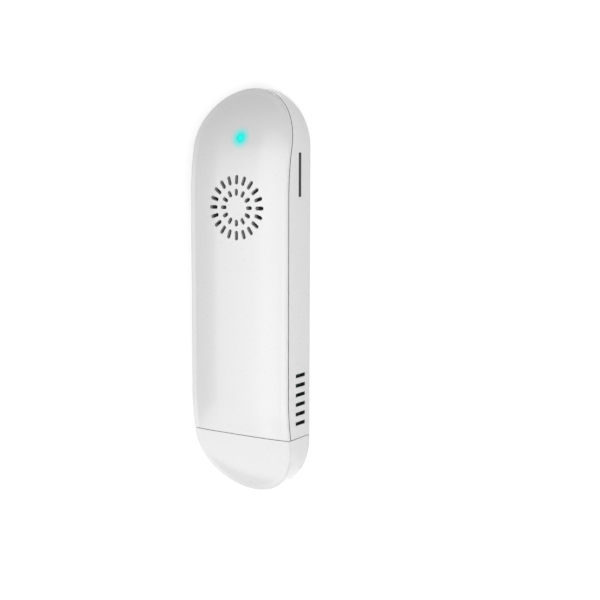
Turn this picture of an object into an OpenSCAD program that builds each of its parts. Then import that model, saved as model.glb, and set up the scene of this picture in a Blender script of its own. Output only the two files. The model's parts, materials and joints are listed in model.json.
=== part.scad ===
// Stick computer with an HDMI plug under a pull-off cap.
// The stick lies on its back: +Z is the front, +Y the round end with the
// light, -Y the plug end, +X the card side and -X the side with the sockets.
// Lengths are in millimetres; the origin is under the middle of the back.

/* [Body] */
// Overall length with the cap on
body_len = 125; // [118:1:138]
// Overall width, also the diameter of the round ends
body_w = 35.5; // [32:0.5:40]
// Height of the seam between back shell and front cover at mid length
seam_h = 12.5; // [12.2:0.1:14.5]
// Length at each end over which the seam falls away
fall_len = 32.5; // [27:0.5:36]
// Radius of the arcs that lower the seam towards both ends
end_arc_r = 66; // [63:1:100]
// Thickness of the side walls
wall = 1.6; // [1.3:0.1:1.8]
// Thickness of the back
floor_t = 1.5; // [1:0.1:1.8]
// Radius of the edge between back and sides
base_r = 0.6; // [0.4:0.1:1.2]

/* [Front cover] */
// Height of the cover's upright band above the seam
band_h = 0.45; // [0.3:0.05:0.8]
// Radius of the cover's outer edge
edge_r = 0.55; // [0.3:0.05:0.8]
// Width of the rim round the front panel
rim_w = 1.9; // [1:0.1:2.2]
// Rise of the front panel from its rim to its middle
crown_h = 0.5; // [0.2:0.05:0.9]
// Width of the curved border of the front panel
crown_w = 9; // [6:0.5:12]
// Width of the groove along the seam
seam_gap = 0.3; // [0.1:0.02:0.4]
// Depth of the groove along the seam
seam_depth = 0.8; // [0.3:0.1:0.8]
// Length of a snap tab under the cover
tab_len = 6; // [4:0.5:8]
// Thickness of a snap tab
tab_t = 1; // [0.7:0.1:1.2]
// Depth to which a snap tab reaches below the seam
tab_drop = 2.4; // [2:0.1:3]
// Reach of a snap tab's barb into the wall
barb = 0.4; // [0.2:0.05:0.5]
// Play round a snap tab
tab_play = 0.12; // [0.05:0.01:0.2]

/* [Grille and light] */
// Distance of the grille's middle from the round end
grille_from_end = 35.8; // [33:0.1:38]
// Number of slots in the outer ring
outer_count = 20; // [16:1:22]
// Number of slots in the inner ring
inner_count = 12; // [8:1:14]
// Inner end of the outer slots
outer_r0 = 6.95; // [6.6:0.05:7.5]
// Outer end of the outer slots
outer_r1 = 9.8; // [9:0.05:10.4]
// Inner end of the inner slots
inner_r0 = 3.6; // [3:0.05:4]
// Outer end of the inner slots
inner_r1 = 5.65; // [5:0.05:6.1]
// Width of a grille slot
slot_w = 1.1; // [0.6:0.05:1.2]
// Distance of the light from the round end
light_from_end = 15; // [14:0.1:17]
// Diameter of the light pipe
light_d = 2.2; // [1.6:0.1:3]
// Gap between light pipe and cover
light_gap = 0.05; // [0.03:0.01:0.1]

/* [Vents and button] */
// Distance of the first vent slot from the cap joint
vent_first = 4.5; // [3.6:0.1:5]
// Pitch of the vent slots
vent_pitch = 2.95; // [2.7:0.05:3.2]
// Number of vent slots on the card side
vent_count = 6; // [4:1:7]
// Length of a vent slot
vent_len = 5.2; // [3:0.1:5.8]
// Width of a vent slot
vent_w = 1.1; // [0.5:0.05:1.2]
// Height of the middle of vents and button above the back
vent_z = 5.6; // [5.2:0.1:6]
// Size of the power button across the wall
button_h = 5.3; // [4.6:0.1:5.8]
// Size of the power button along the wall
button_w = 4.45; // [3.8:0.05:4.8]
// Corner radius of the power button
button_r = 0.6; // [0.3:0.05:1]
// Gap between the power button and its opening
button_gap = 0.18; // [0.12:0.01:0.3]
// Travel of the power button
button_travel = 0.3; // [0.2:0.05:0.4]

/* [USB socket] */
// Distance of the socket's middle from the round end
usb_from_end = 22.5; // [21.5:0.1:24]
// Outer width of the shell
usb_w = 13.1; // [12.9:0.05:13.3]
// Outer height of the shell
usb_h = 5.7; // [5.5:0.05:5.9]
// Depth of the socket
usb_depth = 12; // [11:0.1:13]
// Height of the socket's middle above the back
usb_z = 5.66; // [5.4:0.02:5.8]
// Sheet thickness of the shell
usb_sheet = 0.3; // [0.2:0.05:0.4]
// Width of the tongue
usb_tongue_w = 11.1; // [10.5:0.1:11.3]
// Thickness of the tongue
usb_tongue_t = 1.84; // [1.6:0.02:2]

/* [Micro USB socket] */
// Distance of the socket's middle from the round end
micro_from_end = 46.3; // [45:0.1:47.5]
// Outer width of the shell
micro_w = 7.5; // [7.2:0.05:7.8]
// Outer height of the shell
micro_h = 2.5; // [2.3:0.05:2.7]
// Width of the shell's narrow side
micro_narrow = 5.6; // [5:0.1:6]
// Depth of the socket
micro_depth = 5.2; // [4.6:0.1:5.8]
// Sheet thickness of the shell
micro_sheet = 0.25; // [0.2:0.05:0.3]

/* [Card socket] */
// Distance of the card slot's middle from the round end
card_from_end = 25.85; // [25:0.05:27]
// Length of the slot in the wall
card_slot_len = 13.05; // [12:0.05:13.4]
// Width of the slot in the wall
card_slot_w = 1.45; // [0.9:0.05:1.5]
// Width of a memory card
card_w = 11; // [10.9:0.05:11.2]
// Thickness of a memory card
card_t = 0.7; // [0.6:0.05:0.8]
// Depth of the card socket
card_depth = 14; // [13:0.1:14.5]
// Outer width of the card socket
card_case_w = 14; // [13.6:0.1:14.4]

/* [Plug and cap] */
// Length of the cap
cap_len = 19.4; // [19:0.1:21]
// Gap between cap and body
cap_gap = 0.2; // [0.1:0.05:0.3]
// Play between the cap's ribs and the plug
grip_gap = 0.1; // [0.06:0.01:0.2]
// Thickness of the cap's ribs
rib_t = 1.2; // [0.8:0.1:1.6]
// Outer width of the plug
plug_w = 13.9; // [13.7:0.05:14]
// Outer height of the plug
plug_h = 4.45; // [4.35:0.05:4.55]
// Width of the plug's narrow side
plug_narrow = 10.4; // [9.8:0.1:11]
// Length by which the plug stands out of the body
plug_out = 11.6; // [10.5:0.1:12]
// Sheet thickness of the plug's shell
plug_sheet = 0.3; // [0.2:0.05:0.35]
// Width of the slot that takes the socket's tongue
plug_slot_w = 11.5; // [11.2:0.05:11.6]
// Height of the slot that takes the socket's tongue
plug_slot_h = 1.9; // [1.6:0.05:2.1]

/* [Board] */
// Height of the board's underside above the back
board_z = 4; // [3.8:0.05:4.1]
// Thickness of the board
board_t = 1.2; // [1:0.05:1.3]
// Gap between the board and the walls
board_gap = 0.4; // [0.25:0.05:0.7]
// Diameter of the board posts
post_d = 4; // [3.4:0.1:4.4]
// Shank diameter of the small screws
screw_d = 1.4; // [1:0.1:1.6]
// Head diameter of the small screws
screw_head_d = 2.8; // [2.4:0.1:3.2]
// Head height of the small screws
screw_head_h = 0.8; // [0.5:0.05:1]

/* [Processor and heatsink] */
// Edge length of the processor package
cpu_w = 15; // [12:0.5:16]
// Height of the processor package
cpu_t = 1.1; // [0.9:0.05:1.4]
// Thickness of the thermal pad
pad_t = 0.7; // [0.5:0.05:1]
// Width of the heatsink
sink_w = 26; // [24:0.5:27]
// Thickness of the heatsink's base
sink_t = 1.2; // [1:0.05:1.5]
// Number of fins
fin_count = 9; // [5:1:11]
// Thickness of a fin
fin_t = 0.7; // [0.5:0.05:1]

/* [Fan] */
// Outer radius of the fan frame
fan_r = 10.4; // [10:0.1:10.8]
// Height of the fan
fan_t = 2.6; // [2.4:0.05:2.8]
// Gap between the fan and the cover
roof_gap = 0.45; // [0.3:0.05:0.6]
// Thickness of the frame's base plate
fan_plate_t = 0.5; // [0.4:0.05:0.6]
// Thickness of the frame's wall
fan_wall = 0.7; // [0.5:0.05:0.8]
// Outer radius of the rotor
rotor_r = 9.2; // [8.5:0.1:9.3]
// Radius of the rotor's hub
hub_r = 4.6; // [4.2:0.1:5]
// Number of blades
blade_count = 13; // [7:1:17]
// Thickness of a blade
blade_t = 0.5; // [0.4:0.05:0.8]
// Diameter of the rotor's shaft
shaft_d = 1; // [0.8:0.05:1.2]
// Radial play of the shaft in its bearing
shaft_play = 0.03; // [0.02:0.005:0.05]

/* [Hidden] */
$fn = 72;
// Facets of the long arcs that lower the seam
arc_fn = 360;
// Clearance of a socket in its opening
fit = 0.15;
// Depth by which shapes of one piece run into each other
bite = 0.1;
// Length by which cuts run past a face
past = 1;
rad = body_w / 2;
end_y = body_len / 2 - rad;
tip_y = body_len / 2;
flat_half = tip_y - fall_len;
joint_y = cap_len - tip_y;

// Steps of the lofted outline and of its edge sections
end_steps = 15;
edge_steps = 4;
crown_steps = 5;
base_steps = 4;

// Heights of the board and what stands on it
board_top = board_z + board_t;
lip_h = band_h + edge_r;
roof_t = lip_h + crown_h;

// Places along the stick
grille_y = tip_y - grille_from_end;
light_y = tip_y - light_from_end;
usb_y = tip_y - usb_from_end;
micro_y = tip_y - micro_from_end;
card_y = tip_y - card_from_end;
vent_y0 = joint_y + vent_first;
button_slot = 3.5;
button_y = vent_y0 + button_slot * vent_pitch;
vent_end_y = vent_y0 + (vent_count - 1) * vent_pitch;

// Snap tabs of the cover
tab_ys = [-0.7 * flat_half, 0, 0.7 * flat_half];
tab_x = rad - wall - tab_play - tab_t;
barb_h = 0.8;
pocket_play = 0.25;

// Sockets: how far their mouths lie behind the outside of the wall
mouth_back = 0.25;
usb_x = mouth_back - rad;
micro_x = mouth_back - rad;
micro_z = board_top + micro_h / 2;
usb_block = 2.6;
usb_front = 1;
usb_under = 0.72;
usb_tongue_z = usb_z - usb_h / 2 + usb_sheet + usb_under;
usb_pitch = 2.3;
usb_contact_w = 1;
usb_contact_t = 0.15;
usb_contact_back = 1;
usb_window = [4.6, 2.2];
usb_window_back = 2.4;
usb_finger = [4.4, 1.5];
finger_tilt = 5;
micro_block = 1.4;
micro_front = 0.7;
micro_step = 0.15;
micro_rise = 0.1;
micro_contact_back = 0.3;
micro_tongue_w = 3.8;
micro_tongue_t = 0.6;
micro_pitch = 0.65;
micro_contact_w = 0.36;
micro_contact_t = 0.1;

// Card socket: a plastic tray on the board under a sheet-metal cover
card_sheet = 0.2;
card_play = 0.15;
tray_t = 0.45;
card_space = card_t + 2 * card_play;
card_z = board_top + tray_t + card_space / 2;
card_x = rad - wall - fit;
card_rail = (card_case_w - card_w) / 2 - card_play - card_sheet;
card_contact = [4, 0.7, 0.1];
card_contact_back = 2.4;
card_contacts = 8;
card_pitch = 1.1;
card_stop = 1.2;

// Plug: set into the board's edge, its middle level with the board's
plug_z = board_z + board_t / 2;
plug_in = 5;
plug_tip_y = joint_y - plug_out;
plug_rear_y = joint_y + plug_in;
plug_recess = 0.4;
plug_step = 0.2;
plug_slot_depth = 8.2;
plug_lug = [2.6, 3, 0.3];
plug_hole = [2, 1.6];
plug_hole_x = 3.4;
plug_hole_y = 4.4;
plug_hole_depth = 0.5;
pins_front = 10;
pins_back = 9;
pin_w = 0.35;
pin_t = 0.12;
pin_pitch = 1;
pin_tail = 1.5;
pin_front = 1.2;
pin_step = 1;
pin_play = 0.02;

// Cap: hollow, with ribs that hold the plug
cap_y = cap_gap - joint_y;
web_x = plug_w / 2 + grip_gap;
rib_x = 3.4;
rib_start = 1.5;
tip_room = 1;

// Board outline and screw places
board_short = 6.5;
board_edge = 0.6;
board_clear = 0.2;
board_end_y = tip_y - board_short;
board_start_y = joint_y + wall + board_gap;
board_rad = rad - wall - board_gap;
notch_gap = 0.3;
notch_w = plug_w + 2 * notch_gap;
screw_play = 0.15;
thread_play = 0.05;
head_play = 0.2;
screw_recess = [1.6, 0.3];
screw_end = 0.3;
post_hole_d = screw_d + 2 * thread_play;
low_inset = [3.1, 3];
high_inset = [9.25, 9];
low_post = [rad - wall - low_inset[0], board_start_y + low_inset[1]];
high_post = [rad - high_inset[0], tip_y - high_inset[1]];
post_spots = [
    [-low_post[0], low_post[1]],
    low_post,
    [-high_post[0], high_post[1]],
    high_post];

// Heatsink between the vents and the micro USB socket
chip_gap = 0.6;
sink_gap = 3.5;
sink_y0 = vent_end_y + sink_gap;
sink_y1 = micro_y - micro_w / 2 - chip_gap;
sink_z = board_top + cpu_t + pad_t;
sink_len = sink_y1 - sink_y0;
sink_mid_y = (sink_y0 + sink_y1) / 2;
sink_end = 5;
fin_gap = 1;
fin_top = seam_h - fin_gap;
sink_inset = [2.1, 2.4];
sink_spot = [sink_w / 2 - sink_inset[0], sink_len / 2 - sink_inset[1]];
sink_boss_d = 3.2;
cpu_step = 0.3;
pad_inset = 0.5;
pad_w = cpu_w - 2 * pad_inset;

// Fan under the grille
fan_top = seam_z(grille_y + fan_r) - roof_gap;
fan_z = fan_top - fan_t;
fan_ear_d = 3.6;
fan_ear_out = 0.6;
fan_ear_r = fan_r + fan_ear_out;
fan_ear_x = (usb_x + usb_depth + card_x - card_depth) / 2;
fan_ear_angles = [-135, -45, acos(fan_ear_x / fan_ear_r)];
fan_outlet = 11;
standoff_d = 2.8;
standoff_floor = 0.8;
ear_z = fan_z + fan_plate_t;
bearing_wall = 0.5;
boss_wall = 0.5;
bearing_r = shaft_d / 2 + shaft_play + bearing_wall;
boss_r = bearing_r + boss_wall;
rotor_lift = 0.3;
rotor_z = ear_z + rotor_lift;
hub_skin = 0.45;
hub_drop = 0.05;
hub_top = fan_top - hub_drop;
magnet_t = 0.5;
hub_room = 0.25;
boss_h = hub_top - hub_skin - hub_room - ear_z;
bearing_floor = 0.2;
shaft_end = 0.1;
coil_gap = 0.25;
pole_count = 6;
pole_w = 1.1;
core_wall = 0.4;
core_drop = 0.1;
blade_arc_r = 8;
blade_inset = 0.1;

// Small parts of the board
memory_size = [7.5, 11, 1];
memory_gap = 2;
storage_size = [11.5, 13, 1];
wifi_size = [10, 12, 0.8];
shield_size = [8.8, 10.6, 1.2];
shield_sheet = 0.2;
pmic_size = [5, 5, 0.9];
coil_size = [4, 4, 1.5];
crystal_size = [3.2, 2.5, 0.8];
led_size = [1.6, 1.6, 0.7];
led_gap = 0.2;
light_sink = 0.02;
collar_w = 0.8;
collar_t = 0.8;
antenna_size = [7, 2, 1];
capacitor_size = [1.6, 0.8, 0.8];
capacitor_pitch = 2.6;
capacitor_gap = 0.8;
capacitor_row = 3.5;
side_gap = 1.7;
side_x = cpu_w / 2 + side_gap + coil_size[0] / 2;
side_dy = 3.5;
crystal_inset = 0.35;
connector_size = [2.6, 4, 1.5];
connector_x = board_rad - board_edge - connector_size[0] / 2;
lead_t = 0.3;
lead_w = 2.4;
lead_r = 0.8;
lead_dy = 4;
lead_y = grille_y - lead_dy;
lead_lap = 0.6;

// Power switch behind the button
switch_size = [3.4, 4.6, 2.2];
switch_edge = 0.1;
plunger_d = 1.6;
plunger_out = 0.7;
plunger_in = 0.7;
plunger_play = 0.1;
plunger_room = 0.2;
flange = 0.7;
flange_t = 0.7;
flange_gap = 0.12;
flange_clear = 0.4;
switch_z = board_top + switch_size[2] / 2;
flange_x = -rad + wall + flange_gap;
button_back_x = flange_x + flange_t;
switch_x = button_back_x + plunger_out;

// Chips beside the switch and along the board's edge
storage_x = switch_x + switch_size[0] + chip_gap + storage_size[0] / 2;
wifi_x = board_rad - chip_gap - wifi_size[0] / 2;

white = [0.93, 0.93, 0.93];
metal = [0.75, 0.75, 0.77];
dark = [0.15, 0.15, 0.16];
gold = [0.85, 0.68, 0.3];
green = [0.1, 0.35, 0.18];
alu = [0.8, 0.81, 0.83];
cyan = [0.4, 0.95, 0.95];

// Values from a to b in n steps
function span(a, b, n) = [for (i = [0:n]) a + (b - a) * i / n];

// Height of the seam at y
function seam_z(y) =
    let (t = max(abs(y) - flat_half, 0))
    seam_h - end_arc_r + sqrt(end_arc_r * end_arc_r - t * t);

// Places along the straight side of the outline, from y0 to the round end
function side_ys(y0) = y0 < -flat_half
    ? concat(span(y0, -flat_half, 3), span(flat_half, end_y, 5))
    : span(y0, end_y, 4);

// Right half of the outline, set in by d, from y0 to the tip
function half_outline(y0, d) = concat(
    [for (y = side_ys(y0)) [rad - d, y]],
    [for (i = [1:end_steps])
        let (a = 90 * i / end_steps)
        [(rad - d) * cos(a), end_y + (rad - d) * sin(a)]]);

// Outline at one step of an edge section: p is inset, share of the seam height, height
function outline(y0, p) =
    let (h = half_outline(y0, p[0]), n = len(h))
    concat(
        [for (q = h) [q[0], q[1], p[1] * seam_z(q[1]) + p[2]]],
        [for (i = [n - 2:-1:0]) [-h[i][0], h[i][1], p[1] * seam_z(h[i][1]) + p[2]]]);

// Edge of the front: upright band, rounded edge, flat rim, pillowed panel
front_section = concat(
    [[0, 1, band_h]],
    [for (i = [1:edge_steps])
        let (a = 90 * i / edge_steps)
        [edge_r * (1 - cos(a)), 1, band_h + edge_r * sin(a)]],
    [[rim_w, 1, lip_h]],
    [for (i = [1:crown_steps])
        let (t = i / crown_steps)
        [rim_w + crown_w * t, 1, lip_h + crown_h * (1 - pow(1 - t, 2))]]);

// Edge of the back: rounded between the flat back and the side
back_section = [for (i = [0:base_steps])
    let (a = 90 * i / base_steps)
    [base_r * (1 - sin(a)), 0, base_r * (1 - cos(a))]];

// Solid between the plane y0 and the round end, following an edge section
module loft(y0, section) {
    rings = [for (p = section) outline(y0, p)];
    k = len(rings);
    m = len(rings[0]);
    n = (m + 1) / 2;
    top = (k - 1) * m;
    points = [for (r = rings) each r];
    sides = [for (i = [0:k - 2]) for (j = [0:m - 2])
        each [
            [i * m + j, (i + 1) * m + j, (i + 1) * m + j + 1],
            [i * m + j, (i + 1) * m + j + 1, i * m + j + 1]]];
    roof = [for (j = [0:n - 3])
        each [
            [top + m - 1 - j, top + m - 2 - j, top + j + 1],
            [top + m - 1 - j, top + j + 1, top + j]]];
    under = [for (j = [0:n - 3]) each [[j, j + 1, m - 2 - j], [j, m - 2 - j, m - 1 - j]]];
    tips = [[top + n, top + n - 1, top + n - 2], [n - 2, n - 1, n]];
    mouth = [concat([for (i = [0:k - 1]) i * m + m - 1], [for (i = [k - 1:-1:0]) i * m])];
    polyhedron(points = points, faces = concat(sides, roof, under, tips, mouth));
}

// Plan of the body from y0 to the round end, set in by d
module plan(y0, d) {
    intersection() {
        union() {
            translate([d - rad, y0]) square([2 * (rad - d), end_y - y0]);
            translate([0, end_y]) circle(r = rad - d);
        }
        translate([-body_w, y0]) square([2 * body_w, body_len]);
    }
}

// Everything under the seam, with the seam raised by lift
module under_seam(lift) {
    reach = fall_len + past;
    rotate([90, 0, 90])
        linear_extrude(2 * body_w, center = true) {
            translate([-flat_half, 0]) square([2 * flat_half, seam_h + lift]);
            for (s = [-1, 1])
                intersection() {
                    translate([s > 0 ? flat_half : -flat_half - reach, 0])
                        square([reach, 2 * seam_h]);
                    translate([s * flat_half, seam_h + lift - end_arc_r])
                        circle(r = end_arc_r, $fn = arc_fn);
                }
        }
}

// Half section of the body with its rounded back edge
module half_section() {
    square([rad - base_r, seam_h + past]);
    translate([0, base_r]) square([rad, seam_h + past - base_r]);
    translate([rad - base_r, base_r]) circle(r = base_r);
}

// Outside of the body from the cap joint to the round end
module body_outside() {
    translate([0, end_y, 0])
        rotate([90, 0, 0])
            linear_extrude(end_y - joint_y) {
                half_section();
                mirror([1, 0]) half_section();
            }
    translate([0, end_y, 0]) rotate_extrude(angle = 180) half_section();
}

// Rectangle with rounded corners
module round_rect(w, h, r) {
    square([w - 2 * r, h], center = true);
    square([w, h - 2 * r], center = true);
    for (x = [-1, 1], y = [-1, 1]) translate([x * (w / 2 - r), y * (h / 2 - r)]) circle(r = r);
}

// Outline of the plug, wide towards the front
module plug_outline(g) {
    w = plug_w / 2 + g;
    h = plug_h / 2 + g;
    b = plug_narrow / 2 + g;
    polygon([[-w, h], [-w, -plug_step], [-b, -h], [b, -h], [w, -plug_step], [w, h]]);
}

// Outline of the micro USB socket, narrow towards the back
module micro_outline(g) {
    w = micro_w / 2 + g;
    h = micro_h / 2 + g;
    b = micro_narrow / 2 + g;
    polygon([[-w, h], [-w, -micro_step], [-b, -h], [b, -h], [w, -micro_step], [w, h]]);
}

// Lays an outline drawn in YZ along X, from x over length l
module along_x(x, l) {
    translate([x, 0, 0]) rotate([90, 0, 90]) linear_extrude(l) children();
}

// Lays an outline drawn in XZ along Y, from y over length l
module along_y(y, l) {
    translate([0, y + l, 0]) rotate([90, 0, 0]) linear_extrude(l) children();
}

// Block standing on z0 with its middle at p
module block(p, size, z0) {
    translate([p[0] - size[0] / 2, p[1] - size[1] / 2, z0]) cube(size);
}

// Openings of the right or left wall for vents
module vent(s, i) {
    translate([s * rad, vent_y0 + i * vent_pitch, vent_z])
        cube([4 * wall, vent_w, vent_len], center = true);
}

// Screw with its head resting on z and its shank reaching down by l
module small_screw(p, z, l) {
    translate([p[0], p[1], z])
        difference() {
            union() {
                cylinder(d = screw_head_d, h = screw_head_h);
                translate([0, 0, -l]) cylinder(d = screw_d, h = l + bite);
            }
            translate([0, 0, screw_head_h / 2])
                for (a = [0, 90])
                    rotate(a)
                        translate([-screw_recess[0] / 2, -screw_recess[1] / 2, 0])
                            cube([screw_recess[0], screw_recess[1], screw_head_h]);
        }
}

// White lower half of the case with floor, walls and board posts
module back_shell() {
    color(white)
        difference() {
            union() {
                difference() {
                    union() {
                        intersection() {
                            body_outside();
                            under_seam(-seam_gap);
                        }
                        intersection() {
                            translate([0, 0, 2 * base_r])
                                linear_extrude(seam_h) plan(joint_y, seam_depth);
                            under_seam(0);
                        }
                    }
                    translate([0, 0, floor_t])
                        linear_extrude(2 * seam_h) plan(joint_y + wall, wall);
                }
                for (p = post_spots)
                    translate([p[0], p[1], floor_t - bite])
                        cylinder(d = post_d, h = board_z - floor_t + bite);
            }
            for (p = post_spots)
                translate([p[0], p[1], floor_t]) cylinder(d = post_hole_d, h = board_z);
            for (i = [0:vent_count - 1]) vent(1, i);
            for (i = [0:vent_count - 1])
                if (abs(i - button_slot) > 1) vent(-1, i);
            along_x(-rad - wall, 3 * wall)
                translate([button_y, vent_z])
                    round_rect(button_w + 2 * button_gap, button_h + 2 * button_gap,
                        button_r + button_gap);
            along_x(-rad - wall, 3 * wall)
                translate([usb_y, usb_z])
                    round_rect(usb_w + 2 * fit, usb_h + 2 * fit, 2 * usb_sheet + fit);
            along_x(-rad - wall, 3 * wall) translate([micro_y, micro_z]) micro_outline(fit);
            along_x(rad - 2 * wall, 3 * wall)
                translate([card_y, card_z]) square([card_slot_len, card_slot_w], center = true);
            along_y(joint_y - wall, 3 * wall) translate([0, plug_z]) plug_outline(fit);
            for (y = tab_ys, s = [-1, 1])
                translate([s * (rad - wall), y, seam_h - tab_drop + barb_h / 2])
                    cube([2 * (barb + tab_play), tab_len + 2 * pocket_play, barb_h + 2 * pocket_play],
                        center = true);
        }
}

// One slot of the grille, standing through the cover
module grille_slot(r0, r1) {
    linear_extrude(2 * seam_h) {
        translate([r0 + slot_w / 2, -slot_w / 2]) square([r1 - r0 - slot_w, slot_w]);
        translate([r0 + slot_w / 2, 0]) circle(d = slot_w);
        translate([r1 - slot_w / 2, 0]) circle(d = slot_w);
    }
}

// White front cover with grille, hole for the light and snap tabs
module front_cover() {
    color(white) {
        difference() {
            loft(joint_y, concat([[0, 0, base_r]], front_section));
            under_seam(0);
            translate([0, grille_y, 0]) {
                for (i = [0:outer_count - 1])
                    rotate(90 + 360 * i / outer_count) grille_slot(outer_r0, outer_r1);
                for (i = [0:inner_count - 1])
                    rotate(90 + 360 * i / inner_count) grille_slot(inner_r0, inner_r1);
            }
            translate([0, light_y, board_top])
                cylinder(d = light_d + 2 * light_gap, h = seam_h);
        }
        for (y = tab_ys, s = [-1, 1])
            mirror([s < 0 ? 1 : 0, 0, 0]) {
                translate([tab_x, y - tab_len / 2, seam_h - tab_drop])
                    cube([tab_t, tab_len, tab_drop + bite]);
                translate([tab_x + tab_t - bite, y - tab_len / 2, seam_h - tab_drop])
                    cube([bite + tab_play + barb, tab_len, barb_h]);
            }
    }
}

// White pull-off cap over the plug
module end_cap() {
    color(white)
        mirror([0, 1, 0]) {
            difference() {
                loft(cap_y, concat(back_section, front_section));
                intersection() {
                    translate([0, 0, floor_t]) linear_extrude(2 * seam_h) plan(cap_y - past, wall);
                    under_seam(0);
                }
            }
            intersection() {
                translate([0, 0, floor_t - bite])
                    linear_extrude(2 * seam_h) plan(cap_y + rib_start, wall - bite);
                under_seam(bite);
                union() {
                    for (s = [-1, 1])
                        translate([s > 0 ? web_x : -web_x - rib_t, 0, 0])
                            cube([rib_t, body_len, 2 * seam_h]);
                    difference() {
                        for (s = [-1, 1])
                            translate([s * rib_x - rib_t / 2, 0, 0])
                                cube([rib_t, body_len, 2 * seam_h]);
                        translate([-plug_w, 0, plug_z - plug_h / 2 - grip_gap])
                            cube([2 * plug_w, plug_out - joint_y + tip_room, plug_h + 2 * grip_gap]);
                    }
                }
            }
        }
}

// Clear rod that carries the light from the board to the front
module light_pipe() {
    foot_z = board_top + led_size[2] + led_gap;
    collar_d = light_d + 2 * collar_w;
    collar_z = seam_z(light_y + collar_d / 2) - light_gap - collar_t;
    color(cyan)
        translate([0, light_y, 0]) {
            intersection() {
                translate([0, 0, foot_z]) cylinder(d = light_d, h = seam_h);
                translate([0, -light_y, 0]) under_seam(roof_t - light_sink);
            }
            translate([0, 0, collar_z]) cylinder(d = collar_d, h = collar_t);
        }
}

// White power button with its retaining flange
module power_button() {
    color(white) {
        along_x(-rad, flange_x + rad + bite)
            translate([button_y, vent_z]) round_rect(button_w, button_h, button_r);
        along_x(flange_x, flange_t)
            translate([button_y, vent_z]) round_rect(button_w + 2 * flange, button_h, button_r);
    }
}

// Circuit board cut out round the sunk socket and the plug
module main_board() {
    color(green)
        translate([0, 0, board_z])
            linear_extrude(board_t)
                difference() {
                    intersection() {
                        plan(board_start_y, wall + board_gap);
                        translate([-body_w, -body_len]) square([2 * body_w, body_len + board_end_y]);
                    }
                    translate([-notch_w / 2, board_start_y - past])
                        square([notch_w, plug_rear_y + board_clear - board_start_y + past]);
                    translate([-body_w, usb_y - usb_w / 2 - board_clear])
                        square([body_w + usb_x + usb_depth + board_clear, usb_w + 2 * board_clear]);
                    translate([-body_w, button_y - button_w / 2 - flange - flange_clear])
                        square([body_w + switch_x - switch_edge,
                            button_w + 2 * flange + 2 * flange_clear]);
                    for (p = post_spots) translate(p) circle(d = screw_d + 2 * screw_play);
                    for (x = [-1, 1], y = [-1, 1])
                        translate([x * sink_spot[0], sink_mid_y + y * sink_spot[1]])
                            circle(d = post_hole_d);
                }
}

// Screws that hold the board on its posts
module board_screws() {
    color(metal)
        for (p = post_spots) small_screw(p, board_top, board_top - floor_t - screw_end);
}

// Processor package
module processor() {
    color(dark) {
        block([0, sink_mid_y], [cpu_w, cpu_w, cpu_t / 2], board_top);
        block([0, sink_mid_y], [cpu_w - 2 * cpu_step, cpu_w - 2 * cpu_step, cpu_t / 2],
            board_top + cpu_t / 2);
    }
}

// Soft pad between processor and heatsink
module thermal_pad() {
    color([0.5, 0.6, 0.75])
        block([0, sink_mid_y], [pad_w, pad_w, pad_t], board_top + cpu_t);
}

// Finned heatsink standing on four bosses
module heatsink() {
    fin_pitch = (sink_w - fin_t) / (fin_count - 1);
    color(alu)
        difference() {
            union() {
                block([0, sink_mid_y], [sink_w, sink_len, sink_t], sink_z);
                for (i = [0:fin_count - 1])
                    translate([i * fin_pitch - sink_w / 2, sink_y0 + sink_end, sink_z])
                        cube([fin_t, sink_len - 2 * sink_end, fin_top - sink_z]);
                for (x = [-1, 1], y = [-1, 1])
                    translate([x * sink_spot[0], sink_mid_y + y * sink_spot[1], board_top])
                        cylinder(d = sink_boss_d, h = sink_z - board_top + bite);
            }
            for (x = [-1, 1], y = [-1, 1])
                translate([x * sink_spot[0], sink_mid_y + y * sink_spot[1], 0])
                    cylinder(d = post_hole_d, h = 2 * seam_h);
        }
}

// Screws that hold the heatsink down on the board
module heatsink_screws() {
    color(metal)
        for (x = [-1, 1], y = [-1, 1])
            small_screw([x * sink_spot[0], sink_mid_y + y * sink_spot[1]], sink_z + sink_t,
                sink_z + sink_t - board_z);
}

// Four memory chips on the board's underside
module memory_chips() {
    color(dark)
        for (x = [-1, 1], y = [-1, 1])
            block([x * (memory_size[0] + memory_gap) / 2,
                    sink_mid_y + y * (memory_size[1] + memory_gap) / 2],
                memory_size, board_z - memory_size[2]);
}

// Storage chip between the switch and the wireless module
module storage_chip() {
    color(dark) block([storage_x, button_y], storage_size, board_top);
}

// Power controller beside the processor
module power_controller() {
    color(dark) block([-side_x, sink_mid_y - side_dy], pmic_size, board_top);
}

// Inductors of the power supply
module inductors() {
    color([0.3, 0.3, 0.32]) {
        block([-side_x, sink_mid_y + side_dy], coil_size, board_top);
        for (s = [-1, 1]) block([side_x, sink_mid_y + s * side_dy], coil_size, board_top);
    }
}

// Capacitors round the processor and by the sockets
module capacitors() {
    row = cpu_w / 2 + capacitor_gap + capacitor_size[1] / 2;
    color([0.6, 0.5, 0.4]) {
        for (i = [-2:2], s = [-1, 1])
            block([i * capacitor_pitch, sink_mid_y + s * row], capacitor_size, board_top);
        for (i = [-1:1])
            block([i * capacitor_pitch, light_y + capacitor_row], capacitor_size, board_top);
    }
}

// Clock crystal in its metal can
module clock_crystal() {
    color(metal) block([0, sink_y0 + crystal_inset + crystal_size[1] / 2], crystal_size, board_top);
}

// Light source under the light pipe
module status_led() {
    color([0.95, 0.95, 0.85]) block([0, light_y], led_size, board_top);
}

// Board of the wireless module
module wifi_board() {
    color([0.1, 0.2, 0.35]) block([wifi_x, button_y], wifi_size, board_top);
}

// Shielding can of the wireless module
module wifi_shield() {
    z = board_top + wifi_size[2];
    color(metal)
        difference() {
            block([wifi_x, button_y], shield_size, z);
            block([wifi_x, button_y], shield_size - 2 * [shield_sheet, shield_sheet, shield_sheet / 2],
                z - shield_sheet);
        }
}

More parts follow.
